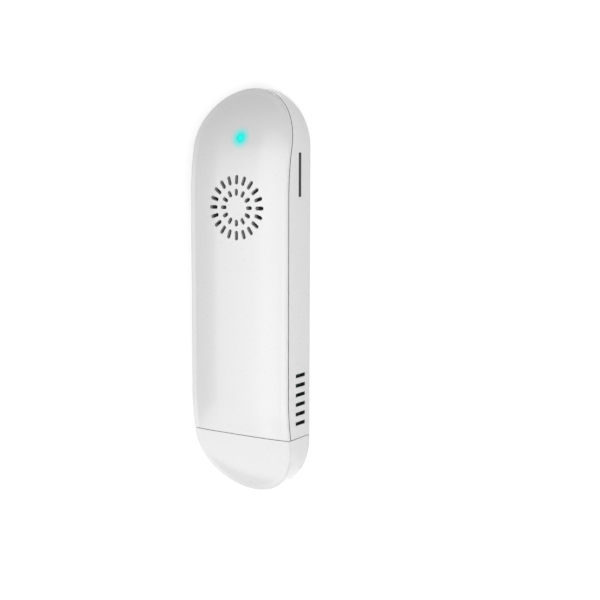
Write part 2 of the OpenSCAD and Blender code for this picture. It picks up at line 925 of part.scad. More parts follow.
// Ceramic aerial near the round end
module antenna() {
    color([0.85, 0.85, 0.8]) block([0, board_end_y - board_edge - antenna_size[1] / 2], antenna_size, board_top);
}

// Posts that carry the fan above the board
module fan_standoffs() {
    color(gold)
        translate([0, grille_y, board_top])
            for (a = fan_ear_angles)
                rotate(a)
                    translate([fan_ear_r, 0, 0])
                        difference() {
                            cylinder(d = standoff_d, h = fan_z - board_top);
                            translate([0, 0, standoff_floor]) cylinder(d = post_hole_d, h = fan_z);
                        }
}

// Fan frame: base plate, curved wall with an outlet, three ears, bearing boss
module fan_frame() {
    color(dark)
        translate([0, grille_y, fan_z]) {
            difference() {
                union() {
                    cylinder(r = fan_r, h = fan_t);
                    for (a = fan_ear_angles)
                        rotate(a) {
                            translate([fan_ear_r, 0, 0]) cylinder(d = fan_ear_d, h = fan_plate_t);
                            translate([hub_r, -fan_ear_d / 2, 0])
                                cube([fan_ear_r - hub_r, fan_ear_d, fan_plate_t]);
                        }
                }
                translate([0, 0, fan_plate_t]) cylinder(r = fan_r - fan_wall, h = fan_t);
                translate([-fan_outlet / 2, -2 * fan_r, fan_plate_t])
                    cube([fan_outlet, 2 * fan_r, fan_t]);
                for (a = fan_ear_angles)
                    rotate(a)
                        translate([fan_ear_r, 0, 0]) {
                            translate([0, 0, -past])
                                cylinder(d = screw_d + 2 * screw_play, h = fan_t);
                            translate([0, 0, fan_plate_t])
                                cylinder(d = screw_head_d + 2 * head_play, h = fan_t);
                        }
            }
            difference() {
                cylinder(r = boss_r, h = fan_plate_t + boss_h);
                translate([0, 0, fan_plate_t]) cylinder(r = bearing_r, h = fan_t);
            }
        }
}

// Bearing sleeve of the fan
module fan_bearing() {
    color(gold)
        translate([0, grille_y, ear_z])
            difference() {
                cylinder(r = bearing_r, h = boss_h);
                translate([0, 0, bearing_floor])
                    cylinder(d = shaft_d + 2 * shaft_play, h = fan_t);
            }
}

// Ring of coils round the bearing boss
module fan_stator() {
    coil_r = hub_r - hub_skin - magnet_t - coil_gap;
    color([0.7, 0.4, 0.2])
        translate([0, grille_y, ear_z])
            difference() {
                union() {
                    cylinder(r = boss_r + core_wall, h = boss_h - core_drop);
                    for (i = [0:pole_count - 1])
                        rotate(360 * i / pole_count)
                            translate([0, -pole_w / 2, core_drop])
                                cube([coil_r, pole_w, boss_h - 3 * core_drop]);
                }
                translate([0, 0, -past]) cylinder(r = boss_r, h = fan_t + 2 * past);
            }
}

// One blade, leaving the hub square to it and bending back along an arc
module blade() {
    intersection() {
        difference() {
            circle(r = rotor_r);
            circle(r = hub_r - bite);
        }
        translate([hub_r - bite, -rotor_r]) square([rotor_r, 2 * rotor_r]);
        translate([hub_r - bite, -blade_arc_r])
            difference() {
                circle(r = blade_arc_r + blade_t / 2);
                circle(r = blade_arc_r - blade_t / 2);
            }
    }
}

// Fan rotor: hub cup with bent-back blades
module fan_rotor() {
    color([0.2, 0.2, 0.22])
        translate([0, grille_y, rotor_z]) {
            difference() {
                cylinder(r = hub_r, h = hub_top - rotor_z);
                translate([0, 0, -past])
                    cylinder(r = hub_r - hub_skin, h = hub_top - hub_skin - rotor_z + past);
                cylinder(d = shaft_d, h = seam_h);
            }
            for (i = [0:blade_count - 1])
                rotate(360 * i / blade_count)
                    translate([0, 0, blade_inset])
                        linear_extrude(hub_top - rotor_z - 2 * blade_inset) blade();
        }
}

// Shaft fixed in the hub
module fan_shaft() {
    color(metal)
        translate([0, grille_y, ear_z + bearing_floor + shaft_end])
            cylinder(d = shaft_d, h = hub_top - ear_z - bearing_floor - shaft_end);
}

// Ring magnet inside the hub
module rotor_magnet() {
    color([0.25, 0.25, 0.27])
        translate([0, grille_y, rotor_z])
            difference() {
                cylinder(r = hub_r - hub_skin, h = hub_top - hub_skin - hub_room - rotor_z);
                translate([0, 0, -past])
                    cylinder(r = hub_r - hub_skin - magnet_t, h = fan_t + 2 * past);
            }
}

// Screws that hold the fan on its posts
module fan_screws() {
    color(metal)
        for (a = fan_ear_angles)
            small_screw([fan_ear_r * cos(a), grille_y + fan_ear_r * sin(a)], ear_z,
                ear_z - board_top - standoff_floor - screw_end);
}

// Board connector of the fan lead
module fan_connector() {
    color([0.9, 0.88, 0.8])
        block([connector_x, lead_y], connector_size, board_top);
}

// Flat lead from the fan frame down to its connector
module fan_lead() {
    x0 = sqrt(fan_r * fan_r - lead_dy * lead_dy) - lead_lap;
    x1 = connector_x;
    z0 = fan_z - lead_t;
    z1 = board_top + connector_size[2];
    color(dark)
        along_y(lead_y - lead_w / 2, lead_w) {
            translate([x0, z0]) square([x1 - lead_r - x0, lead_t]);
            translate([x1 - lead_t, z1]) square([lead_t, z0 + lead_t - lead_r - z1]);
            translate([x1 - lead_r, z0 + lead_t - lead_r])
                intersection() {
                    square(2 * lead_r);
                    difference() {
                        circle(r = lead_r);
                        circle(r = lead_r - lead_t);
                    }
                }
        }
}

// Metal shell of the plug with latch holes and solder lugs
module hdmi_shell() {
    color(metal) {
        difference() {
            along_y(plug_tip_y, plug_rear_y - plug_tip_y)
                translate([0, plug_z])
                    difference() {
                        plug_outline(0);
                        plug_outline(-plug_sheet);
                    }
            for (s = [-1, 1])
                translate([s * plug_hole_x, plug_tip_y + plug_hole_y, plug_z])
                    cube([plug_hole[0], plug_hole[1], 2 * plug_h], center = true);
        }
        for (s = [-1, 1])
            translate([s > 0 ? plug_w / 2 - bite : bite - plug_w / 2 - plug_lug[0],
                    plug_rear_y - plug_lug[1], board_top])
                cube(plug_lug);
    }
}

// Insulator of the plug with the slot for the socket's tongue
module hdmi_core() {
    color(dark)
        difference() {
            along_y(plug_tip_y + plug_recess, plug_rear_y - plug_tip_y - plug_recess)
                translate([0, plug_z]) plug_outline(-plug_sheet);
            along_y(plug_tip_y - past, plug_slot_depth + past + plug_recess)
                translate([0, plug_z]) square([plug_slot_w, plug_slot_h], center = true);
            for (s = [-1, 1], t = [-1, 1])
                translate([s * plug_hole_x, plug_tip_y + plug_hole_y, plug_z + t * plug_h / 2])
                    cube([plug_hole[0], plug_hole[1], 2 * plug_hole_depth], center = true);
            along_y(plug_rear_y - pin_step, 2 * pin_step)
                translate([0, plug_z]) square([plug_slot_w, plug_slot_h], center = true);
            plug_pins(pin_play);
        }
}

// Left edge of contact i in a row of n
function pin_x(i, n) = (i - (n - 1) / 2) * pin_pitch - pin_w / 2;

// Contact strips of the plug: ten towards the front, nine towards the back
module plug_pins(g) {
    y0 = plug_tip_y + plug_recess + pin_front;
    y1 = plug_rear_y - pin_step / 2;
    for (i = [0:pins_front - 1])
        translate([pin_x(i, pins_front) - g, y0, plug_z + plug_slot_h / 2 - pin_t - g])
            cube([pin_w + 2 * g, y1 - y0, pin_t + 2 * g]);
    for (i = [0:pins_back - 1])
        translate([pin_x(i, pins_back) - g, y0, plug_z - plug_slot_h / 2 - g])
            cube([pin_w + 2 * g, y1 - y0, pin_t + 2 * g]);
}

// Nineteen contacts in two rows, with tails soldered to the board
module hdmi_contacts() {
    y1 = plug_rear_y - pin_step / 2;
    rise = (plug_slot_h - board_t) / 2;
    color(gold) {
        plug_pins(0);
        for (i = [0:pins_front - 1])
            translate([pin_x(i, pins_front), 0, board_top]) {
                translate([0, y1 - pin_t, 0]) cube([pin_w, pin_t, rise]);
                translate([0, y1 - pin_t, 0]) cube([pin_w, pin_tail + pin_step / 2, pin_t]);
            }
        for (i = [0:pins_back - 1])
            translate([pin_x(i, pins_back), 0, board_z]) {
                translate([0, y1 - pin_t, -rise]) cube([pin_w, pin_t, rise]);
                translate([0, y1 - pin_t, -pin_t]) cube([pin_w, pin_tail + pin_step / 2, pin_t]);
            }
    }
}

// Metal shell of the USB socket with sprung fingers
module usb_a_shell() {
    color(metal) {
        difference() {
            along_x(usb_x, usb_depth)
                translate([usb_y, usb_z])
                    difference() {
                        round_rect(usb_w, usb_h, 2 * usb_sheet);
                        round_rect(usb_w - 2 * usb_sheet, usb_h - 2 * usb_sheet, usb_sheet);
                    }
            for (s = [-1, 1], t = [-1, 1])
                translate([usb_x + usb_window_back, usb_y + s * usb_w / 4 - usb_window[1] / 2,
                        usb_z + t * usb_h / 2 - past])
                    cube([usb_window[0], usb_window[1], 2 * past]);
        }
        for (s = [-1, 1], t = [-1, 1])
            translate([usb_x + usb_window_back + usb_window[0] + bite, usb_y + s * usb_w / 4,
                    usb_z + t * (usb_h / 2 - usb_sheet / 2)])
                rotate([0, -t * finger_tilt, 0])
                    translate([-usb_finger[0], -usb_finger[1] / 2, -usb_sheet / 2])
                        cube([usb_finger[0], usb_finger[1], usb_sheet]);
    }
}

// Insulator of the USB socket: block at the rear and tongue
module usb_a_tongue() {
    rear = usb_x + usb_depth;
    color([0.85, 0.85, 0.85]) {
        along_x(rear - usb_block, usb_block)
            translate([usb_y, usb_z])
                round_rect(usb_w - 2 * usb_sheet, usb_h - 2 * usb_sheet, usb_sheet);
        translate([usb_x + usb_front, usb_y - usb_tongue_w / 2, usb_tongue_z])
            cube([usb_depth - usb_block - usb_front + bite, usb_tongue_w, usb_tongue_t]);
    }
}

// Four contacts on the tongue's front
module usb_a_contacts() {
    color(gold)
        for (i = [0:3])
            translate([usb_x + usb_front + usb_contact_back,
                    usb_y + (i - 1.5) * usb_pitch - usb_contact_w / 2,
                    usb_tongue_z + usb_tongue_t])
                cube([usb_depth - usb_block - usb_front - usb_contact_back, usb_contact_w, usb_contact_t]);
}

// Metal shell of the micro USB socket
module micro_usb_shell() {
    color(metal)
        along_x(micro_x, micro_depth)
            translate([micro_y, micro_z])
                difference() {
                    micro_outline(0);
                    micro_outline(-micro_sheet);
                }
}

// Insulator of the micro USB socket
module micro_usb_tongue() {
    color(dark) {
        along_x(micro_x + micro_depth - micro_block, micro_block)
            translate([micro_y, micro_z]) micro_outline(-micro_sheet);
        translate([micro_x + micro_front, micro_y - micro_tongue_w / 2, micro_z + micro_rise])
            cube([micro_depth - micro_block - micro_front + bite, micro_tongue_w, micro_tongue_t]);
    }
}

// Five contacts under the tongue
module micro_usb_contacts() {
    color(gold)
        for (i = [-2:2])
            translate([micro_x + micro_front + micro_contact_back,
                    micro_y + i * micro_pitch - micro_contact_w / 2,
                    micro_z + micro_rise - micro_contact_t])
                cube([micro_depth - micro_block - micro_front - micro_contact_back,
                    micro_contact_w, micro_contact_t]);
}

// Sheet-metal cover of the card socket
module card_shell() {
    h = tray_t + card_space;
    color(metal)
        translate([card_x - card_depth, card_y - card_case_w / 2, board_top]) {
            translate([0, 0, h]) cube([card_depth, card_case_w, card_sheet]);
            cube([card_depth, card_sheet, h + bite]);
            translate([0, card_case_w - card_sheet, 0]) cube([card_depth, card_sheet, h + bite]);
        }
}

// Plastic tray of the card socket with rails and back stop
module card_tray() {
    h = tray_t + card_space;
    color(dark)
        translate([card_x - card_depth, card_y - card_case_w / 2 + card_sheet, board_top])
            difference() {
                cube([card_depth, card_case_w - 2 * card_sheet, h]);
                translate([card_stop, card_rail, tray_t]) cube([card_depth, card_w + 2 * card_play, h]);
            }
}

// Sprung contacts of the card socket
module card_contacts() {
    color(gold)
        for (i = [0:card_contacts - 1])
            translate([card_x - card_depth + card_contact_back,
                    card_y + (i - (card_contacts - 1) / 2) * card_pitch - card_contact[1] / 2,
                    board_top + tray_t])
                cube(card_contact);
}

// Body of the push switch with the bore of its plunger
module switch_body() {
    color(metal)
        difference() {
            translate([switch_x, button_y - switch_size[1] / 2, board_top]) cube(switch_size);
            along_x(switch_x - past, past + plunger_in + button_travel + plunger_room)
                translate([button_y, switch_z]) circle(d = plunger_d + 2 * plunger_play);
        }
}

// Plunger of the switch, resting against the button
module switch_plunger() {
    color(dark)
        along_x(button_back_x, plunger_out + plunger_in)
            translate([button_y, switch_z]) circle(d = plunger_d);
}

back_shell();
front_cover();
end_cap();
light_pipe();
power_button();
main_board();
board_screws();
processor();
thermal_pad();
heatsink();
heatsink_screws();
memory_chips();
storage_chip();
power_controller();
inductors();
capacitors();
clock_crystal();
status_led();
wifi_board();
wifi_shield();
antenna();
fan_standoffs();
fan_frame();
fan_bearing();
fan_stator();
fan_rotor();
fan_shaft();
rotor_magnet();
fan_screws();
fan_connector();
fan_lead();
hdmi_shell();
hdmi_core();
hdmi_contacts();
usb_a_shell();
usb_a_tongue();
usb_a_contacts();
micro_usb_shell();
micro_usb_tongue();
micro_usb_contacts();
card_shell();
card_tray();
card_contacts();
switch_body();
switch_plunger();
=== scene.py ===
import json
import math

import bpy
from mathutils import Matrix, Vector
from mathutils.geometry import delaunay_2d_cdt


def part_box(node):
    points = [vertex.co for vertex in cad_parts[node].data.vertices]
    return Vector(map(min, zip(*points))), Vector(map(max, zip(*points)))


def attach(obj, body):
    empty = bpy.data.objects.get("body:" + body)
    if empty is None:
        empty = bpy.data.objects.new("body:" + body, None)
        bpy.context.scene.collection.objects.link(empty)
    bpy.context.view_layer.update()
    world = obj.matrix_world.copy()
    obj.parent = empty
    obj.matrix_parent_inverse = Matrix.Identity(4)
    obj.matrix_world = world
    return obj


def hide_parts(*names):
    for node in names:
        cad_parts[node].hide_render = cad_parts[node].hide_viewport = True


# Looks of the stick computer: moulded white skins, finishes of every node, studio and camera.
# The skins repeat the part's outline and edge sections with finer steps and rounded openings.
# Lengths in this script are in millimetres until a mesh or an object is made.
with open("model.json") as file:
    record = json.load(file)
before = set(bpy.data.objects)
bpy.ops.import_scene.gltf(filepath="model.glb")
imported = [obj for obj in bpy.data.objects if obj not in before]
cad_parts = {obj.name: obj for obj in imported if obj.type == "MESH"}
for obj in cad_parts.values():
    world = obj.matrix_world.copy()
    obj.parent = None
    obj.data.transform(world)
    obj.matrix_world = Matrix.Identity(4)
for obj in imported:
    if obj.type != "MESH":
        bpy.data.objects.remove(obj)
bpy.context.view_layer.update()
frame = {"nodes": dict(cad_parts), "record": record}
MM = 0.001


def box_mm(node):
    """Lowest and highest corner of a node in millimetres."""
    low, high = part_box(node)
    return Vector(low) / MM, Vector(high) / MM


def middle(node):
    """Middle of a node's box in millimetres."""
    low, high = box_mm(node)
    return (low + high) / 2


# Main sizes, read from the frame
SHELL_LOW, SHELL_HIGH = box_mm("back_shell")
RAD = SHELL_HIGH.x
TIP_Y = SHELL_HIGH.y
JOINT_Y = SHELL_LOW.y
SEAM_H = SHELL_HIGH.z
END_Y = TIP_Y - RAD
CAP_MOUTH = -box_mm("end_cap")[1].y
FRONT_H = box_mm("front_cover")[1].z

# Shape of the seam and of the edge sections
FALL_LEN = 32.5
END_ARC_R = 66.0
FLAT_HALF = TIP_Y - FALL_LEN
BAND_H = 0.35
EDGE_R = 0.55
RIM_W = 1.9
LIP_H = BAND_H + EDGE_R
CROWN_H = FRONT_H - SEAM_H - LIP_H
CROWN_W = 9.0
CREASE = 0.12
BASE_R = 0.6
WALL = 1.6
FLOOR_T = 1.5
SEAM_GAP = 0.3
SEAM_DEPTH = 0.8
MOUTH_R = 0.1
LIP_R = 0.12

# Grille and light
GRILLE_Y = middle("fan_shaft").y
LIGHT_Y = middle("light_pipe").y
OUTER_SLOTS = (20, 6.95, 9.8)
INNER_SLOTS = (12, 3.6, 5.65)
SLOT_W = 1.1
LIGHT_D = 2.2
LIGHT_HOLE_D = 2.3
LIGHT_CORE = 0.4
LIGHT_CORE_SIDES = 6
HOLE_R = 0.1

# Openings in the side walls
OPENING_R = 0.12
VENT_Y0 = JOINT_Y + 4.5
VENT_PITCH = 2.95
VENT_COUNT = 6
VENT_SIZE = (1.1, 5.2)
VENT_R = 0.08
BUTTON_SIZE = (4.45, 5.3)
BUTTON_R = 0.6
BUTTON_GAP = 0.18
BUTTON_Y = middle("power_button").y
BUTTON_Z = middle("power_button").z
BUTTON_SLOT = 3.5
FIT = 0.15
USB_R = 0.75
CARD_SIZE = (13.05, 1.45)
CARD_R = 0.12
CARD_Y = middle("card_shell").y
CARD_DROP = 0.7
CARD_Z = box_mm("card_shell")[1].z - CARD_DROP
MICRO_NARROW = 5.6
MICRO_STEP = 0.15
MICRO_R = 0.3
PLUG_SIZE = (13.9, 4.45)
PLUG_NARROW = 10.4
PLUG_STEP = 0.2
PLUG_R = 0.3

# Fineness of the meshes
SIDE_STEP = 1.6
COARSE_STEP = 4 * SIDE_STEP
ARC_STEPS = 96
ROUND_STEPS = 6
CROWN_STEPS = 7
WALL_STEPS = 6
CORNER_STEPS = 5
FILLET_STEPS = 3
PANEL_STEP = 1.1
UNDER_STEP = 2.4
RING_W = CROWN_W / 3

# Inner points of a plane mesh, in shares of its step: shift of every other row, room to keep
STAGGER = 0.25
EDGE_ROOM = 0.45
HOLE_ROOM = 0.4

# Distances that count as nothing, and what the triangulation keeps
SAME = 1e-6
SLACK = 1e-3
CLOSE = 1e-7
TINY = 1e-9
ONLY_INSIDE = 1


def seam(y):
    """Height of the seam at y."""
    t = max(abs(y) - FLAT_HALF, 0)
    return SEAM_H - END_ARC_R + math.sqrt(END_ARC_R**2 - t * t)


def seam_slope(y):
    """Slope of the seam along y."""
    t = max(abs(y) - FLAT_HALF, 0)
    return -math.copysign(t / math.sqrt(END_ARC_R**2 - t * t), y)


def span(a, b, steps):
    """Values from a to b in equal steps."""
    return [a + (b - a) * i / steps for i in range(steps + 1)]


# Painted shade inside openings and the seam, as darker materials on their walls: deep ones, the slit for
# the card and the slots of the grille
PAINTED_SHADES = ("opening", "slit", "grille")


class Skin:
    """A closed skin whose corners carry their own normals; points that meet are welded."""

    def __init__(self, flip=False):
        self.flip = flip
        self.points = []
        self.index = {}
        self.faces = []
        self.normals = []
        self.shaded = 0
        self.paint = []

    def point(self, p):
        """Index of the point p."""
        p = (p[0], -p[1] if self.flip else p[1], p[2])
        key = tuple(round(c, 4) for c in p)
        if key not in self.index:
            self.index[key] = len(self.points)
            self.points.append(p)
        return self.index[key]

    def face(self, corners):
        """Adds a face from (point, normal) pairs in the order seen from outside."""
        kept = []
        for p, n in corners:
            i = self.point(p)
            if not kept or (kept[-1][0] != i and kept[0][0] != i):
                kept.append((i, n))
        if len(kept) < 3:
            return
        if self.flip:
            kept = [(i, (n[0], -n[1], n[2])) for i, n in reversed(kept)]
        self.faces.append([i for i, n in kept])
        self.paint.append(self.shaded)
        self.normals.extend(Vector(n).normalized() for i, n in kept)

    def strip(self, a, b):
        """Joins two rows of (point, normal) pairs."""
        for i in range(len(a) - 1):
            self.face([a[i], a[i + 1], b[i + 1], b[i]])

    def shade(self, a, b, shade="opening"):
        """Joins two rows with one of the painted shades inside openings, a darker material on walls of
        white plastic.
        """
        self.shaded = 1 + PAINTED_SHADES.index(shade)
        self.strip(a, b)
        self.shaded = 0

    def flat(self, points, normal):
        """One plane face."""
        self.face([(p, normal) for p in points])

    def piece(self, name, body, slot, look, *nodes):
        """Makes the object, hangs it on its body and lets it stand for its nodes."""
        mesh = bpy.data.meshes.new(name)
        mesh.from_pydata([[c * MM for c in p] for p in self.points], [], self.faces)
        mesh.polygons.foreach_set("use_smooth", [True] * len(self.faces))
        mesh.normals_split_custom_set(self.normals)
        mesh.materials.append(look)
        if any(self.paint):
            for shade in PAINTED_SHADES:
                mesh.materials.append(LOOKS[shade])
            mesh.polygons.foreach_set("material_index", self.paint)
        obj = bpy.data.objects.new(name, mesh)
        bpy.context.scene.collection.objects.link(obj)
        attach(obj, body)
        if nodes:
            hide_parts(*nodes)


def rounded(core, r, steps=CORNER_STEPS):
    """Loop round a convex core at distance r: (point, outward direction) pairs, anticlockwise."""
    loop = []
    n = len(core)
    for i in range(n):
        before, here, after = core[i - 1], core[i], core[(i + 1) % n]
        a0 = math.atan2(here[1] - before[1], here[0] - before[0]) - math.pi / 2
        a1 = math.atan2(after[1] - here[1], after[0] - here[0]) - math.pi / 2
        a1 += 2 * math.pi if a1 < a0 - TINY else 0
        for a in span(a0, a1, steps):
            out = (math.cos(a), math.sin(a))
            loop.append(((here[0] + r * out[0], here[1] + r * out[1]), out))
    return loop


class Opening:
    """A convex opening with rounded corners in a surface; its shade names the painted shade on its
    walls.
    """

    def __init__(self, core, r, steps=CORNER_STEPS, shade="opening"):
        self.core = core
        self.r = r
        self.steps = steps
        self.shade = shade

    def loop(self, grow=0.0):
        """The opening's edge, grown outwards."""
        return rounded(self.core, self.r + grow, self.steps)

    def distance(self, p):
        """Distance of p from the opening's edge, negative inside it."""
        best = math.inf
        inside = len(self.core) > 2
        for i, b in enumerate(self.core):
            a = self.core[i - 1]
            ex, ey = b[0] - a[0], b[1] - a[1]
            px, py = p[0] - a[0], p[1] - a[1]
            t = min(max((px * ex + py * ey) / (ex * ex + ey * ey), 0), 1)
            best = min(best, math.hypot(px - t * ex, py - t * ey))
            inside = inside and ex * py - ey * px >= 0
        return (-best if inside else best) - self.r


def rectangle(mid, size, r, shade="opening"):
    """Opening of the given outer size with corner radius r."""
    w, h = size[0] / 2 - r, size[1] / 2 - r
    x, y = mid
    return Opening([(x - w, y - h), (x + w, y - h), (x + w, y + h), (x - w, y + h)], r, shade=shade)


def tapered(mid, size, narrow, step, r):
    """Opening with upright upper sides that draw in to a narrow lower side."""
    w, h, b = size[0] / 2 - r, size[1] / 2 - r, narrow / 2 - r / 2
    x, y = mid
    sides = [(-b, -h), (b, -h), (w, -step), (w, h), (-w, h), (-w, -step)]
    return Opening([(x + p, y + q) for p, q in sides], r)


def slot(centre, angle, r0, r1):
    """Round-ended slot pointing away from a centre."""
    r = SLOT_W / 2
    c, s = math.cos(angle), math.sin(angle)
    ends = [(centre[0] + q * c, centre[1] + q * s) for q in (r0 + r, r1 - r)]
    return Opening(ends, r, 2 * CORNER_STEPS, "grille")


def mesh_plane(border, openings, step, grow, room):
    """Triangles between a border loop and the grown openings, with inner points step apart."""
    points, edges = [], []
    for loop in [border] + [[p for p, out in o.loop(grow)] for o in openings]:
        first = len(points)
        for p in loop:
            if len(points) == first or math.dist(points[-1], p) > SAME:
                points.append(tuple(p))
        if math.dist(points[-1], points[first]) < SAME:
            points.pop()
        n = len(points) - first
        edges += [(first + i, first + (i + 1) % n) for i in range(n)]
    xs = [p[0] for p in border]
    ys = [p[1] for p in border]
    rows = max(int((max(ys) - min(ys)) / step), 1)
    columns = max(int((max(xs) - min(xs)) / step), 1)
    for j in range(1, rows):
        for i in range(1, columns):
            p = (
                min(xs) + (i + STAGGER * (-1) ** j) * step,
                min(ys) + j * step,
            )
            clear = all(o.distance(p) > grow + HOLE_ROOM * step for o in openings)
            if clear and room(p) > EDGE_ROOM * step:
                points.append(p)
    _, _, faces, source, _, _ = delaunay_2d_cdt(
        [Vector(p) for p in points], edges, [], ONLY_INSIDE, CLOSE)
    made = []
    for f in faces:
        corners = [points[source[i][0]] for i in f]
        mid = [sum(c) / len(f) for c in zip(*corners)]
        if room(mid) > -SAME and all(o.distance(mid) > grow - SLACK for o in openings):
            made.append(corners)
    return made


def turned(points):
    """The same corners, ordered anticlockwise."""
    area = sum(
        points[i - 1][0] * points[i][1] - points[i][0] * points[i - 1][1] for i in range(len(points)))
    return points if area > 0 else points[::-1]


# Outline: columns run from the mouth up the +X side, round the tip and down the -X side
def columns(*starts):
    """(x direction, y direction, y of the side or of the arc's centre) along the outline."""
    starts = [y for y in starts if y < END_Y]
    steps = max(round((END_Y - starts[-1]) / SIDE_STEP), 2)
    side = starts[:-1] + span(starts[-1], END_Y, steps)
    arc = [math.pi * i / ARC_STEPS for i in range(1, ARC_STEPS)]
    return (
        [(1.0, 0.0, y) for y in side]
        + [(math.cos(a), math.sin(a), END_Y) for a in arc]
        + [(-1.0, 0.0, y) for y in reversed(side)])


def on_ring(column, ring):
    """(point, normal) at a column of a ring: inset, share of the seam's height, height, tilt."""
    inset, share, height, tilt = ring
    ox, oy, y = column
    p = (ox * (RAD - inset), y + oy * (RAD - inset))
    up = math.sin(math.radians(tilt))
    out = math.cos(math.radians(tilt))
    z = height + (share * seam(p[1]) if share else 0)
    slope = share * seam_slope(p[1])
    n = Vector((out * ox, out * oy - up * slope, up)).normalized()
    return (p[0], p[1], z), n


def mouth(point, normal, y0, f):
    """The same section point rolled over the rounded edge of the mouth, by angle f."""
    h = MOUTH_R * (1 - math.cos(f))
    p = (
        point[0] - normal[0] * h,
        y0 + MOUTH_R * (1 - math.sin(f)),
        point[2] - normal[2] * h)
    n = (normal[0] * math.cos(f), -math.sin(f), normal[2] * math.cos(f))
    return p, n


FILLET = [math.pi / 2 * i / FILLET_STEPS for i in range(FILLET_STEPS, 0, -1)]


def ring_row(ring, y0, roll=True):
    """(point, normal) pairs along a whole ring, with a rounded or sharp mouth at both ends."""
    row = [on_ring(c, ring) for c in columns(y0 + MOUTH_R, y0 + WALL)]
    if not roll:
        sharp = [on_ring(c, ring) for c in ((1.0, 0.0, y0), (-1.0, 0.0, y0))]
        return [sharp[0]] * len(FILLET) + row + [sharp[1]] * len(FILLET)
    first, last = row[0], row[-1]
    return (
        [mouth(*first, y0, f) for f in FILLET]
        + row
        + [mouth(*last, y0, f) for f in reversed(FILLET)])


def crown(inset):
    """Height of the front above the seam, and its tilt, at an inset inside the rim."""
    t = min(max((inset - RIM_W) / CROWN_W, 0), 1)
    slope = 2 * CROWN_H / CROWN_W * (1 - t)
    return LIP_H + CROWN_H * (1 - (1 - t) ** 2), 90 - math.degrees(math.atan(slope))


def front_rings():
    """Rings from the seam over band, rounded edge and rim to the start of the panel."""
    rings = [(0, 1, 0, 0), (0, 1, BAND_H, 0)]
    for i in range(1, ROUND_STEPS + 1):
        a = 90 * i / ROUND_STEPS
        c, s = math.cos(math.radians(a)), math.sin(math.radians(a))
        rings.append((EDGE_R * (1 - c), 1, BAND_H + EDGE_R * s, a))
    rings.append((RIM_W - CREASE, 1, LIP_H, 90))
    for i in range(CROWN_STEPS + 1):
        inset = RIM_W + CREASE + (RING_W - CREASE) * i / CROWN_STEPS
        height, tilt = crown(inset)
        rings.append((inset, 1, height, tilt))
    return rings


def inset_of(x, y):
    """Inset of a point of the plan, and the outward direction there."""
    if y <= END_Y:
        return RAD - abs(x), (math.copysign(1, x), 0)
    r = math.hypot(x, y - END_Y)
    return RAD - r, (x / max(r, TINY), (y - END_Y) / max(r, TINY))


def on_front(x, y):
    """(point, normal) of the pillowed front panel."""
    inset, out = inset_of(x, y)
    height, tilt = crown(inset)
    lean = math.cos(math.radians(tilt))
    up = math.sin(math.radians(tilt))
    n = Vector((lean * out[0], lean * out[1] - up * seam_slope(y), up)).normalized()
    return (x, y, seam(y) + height), n


def fillet_rows(opening, r, surface, sink):
    """Rows round an opening from the surface over its rounded edge; sink moves a point inwards."""
    rows = []
    for a in span(0, math.pi / 2, FILLET_STEPS):
        row = []
        for p, out in opening.loop(r * (1 - math.sin(a))):
            point, normal, inward = surface(p, out)
            n = Vector(normal) * math.cos(a) + Vector(inward) * math.sin(a)
            row.append((sink(point, r * (1 - math.cos(a))), n))
        rows.append(row + row[:1])
    return rows


def front(skin, y0, openings):
    """Front of the cover or cap with its openings and rounded mouth; returns the mouth's profile."""
    rings = front_rings()
    rows = [ring_row(r, y0) for r in rings]
    for a, b in zip(rows, rows[1:]):
        skin.strip(a, b)
    start = y0 + MOUTH_R
    last = rings[-1][0]
    side = RAD - last
    border = [p[:2] for p, n in rows[-1][len(FILLET):-len(FILLET)]]
    across = span(-side, side, round(2 * side / PANEL_STEP))
    border += [(x, start) for x in across[1:-1]]
    faces = mesh_plane(
        border, openings, PANEL_STEP, HOLE_R,
        lambda p: min(inset_of(*p)[0] - last, p[1] - start))
    for f in faces:
        skin.face([on_front(*p) for p in turned(f)])
    edge = [[mouth(*on_front(x, start), y0, f) for x in reversed(across)] for f in FILLET]
    edge.append([on_front(x, start) for x in reversed(across)])
    for a, b in zip(edge, edge[1:]):
        skin.strip(b, a)
    for o in openings:
        tops = fillet_rows(
            o, HOLE_R,
            lambda p, out: on_front(*p) + ((-out[0], -out[1], 0),),
            lambda p, h: (p[0], p[1], p[2] - h))
        for a, b in zip(tops, tops[1:]):
            skin.strip(a, b)
        low = [((p[0], p[1], seam(p[1])), n) for p, n in tops[-1]]
        # Painted shade: the walls of the grille's slots and of the light's hole get their darker
        # material
        skin.shade(tops[-1], low, o.shade)
    right = [r[0][0] for r in rows]
    left = [r[-1][0] for r in rows]
    return right + [p for p, n in edge[0]][1:-1] + left[::-1]


def cover_skin():
    """Front cover with its grille, the hole for the light and a flat mouth."""
    skin = Skin()
    centre = (0, GRILLE_Y)
    openings = [Opening(light_core(), LIGHT_HOLE_D / 2 - LIGHT_CORE)]
    for count, r0, r1 in (OUTER_SLOTS, INNER_SLOTS):
        openings += [slot(centre, math.pi / 2 + 2 * math.pi * i / count, r0, r1) for i in range(count)]
    profile = front(skin, JOINT_Y, openings)
    skin.flat(profile, (0, -1, 0))
    low = [p[:2] for p, n in ring_row((0, 1, 0, 0), JOINT_Y)]
    faces = mesh_plane(
        low, openings, UNDER_STEP, 0,
        lambda p: min(inset_of(*p)[0], p[1] - JOINT_Y))
    for f in faces:
        corners = [(x, y, seam(max(y, JOINT_Y + MOUTH_R))) for x, y in turned(f)[::-1]]
        skin.face([(p, (0, seam_slope(p[1]), -1)) for p in corners])
    return skin


def light_core():
    """Small polygon in the middle of the light's round hole."""
    turns = [2 * math.pi * i / LIGHT_CORE_SIDES for i in range(LIGHT_CORE_SIDES)]
    return [(LIGHT_CORE * math.cos(a), LIGHT_Y + LIGHT_CORE * math.sin(a)) for a in turns]


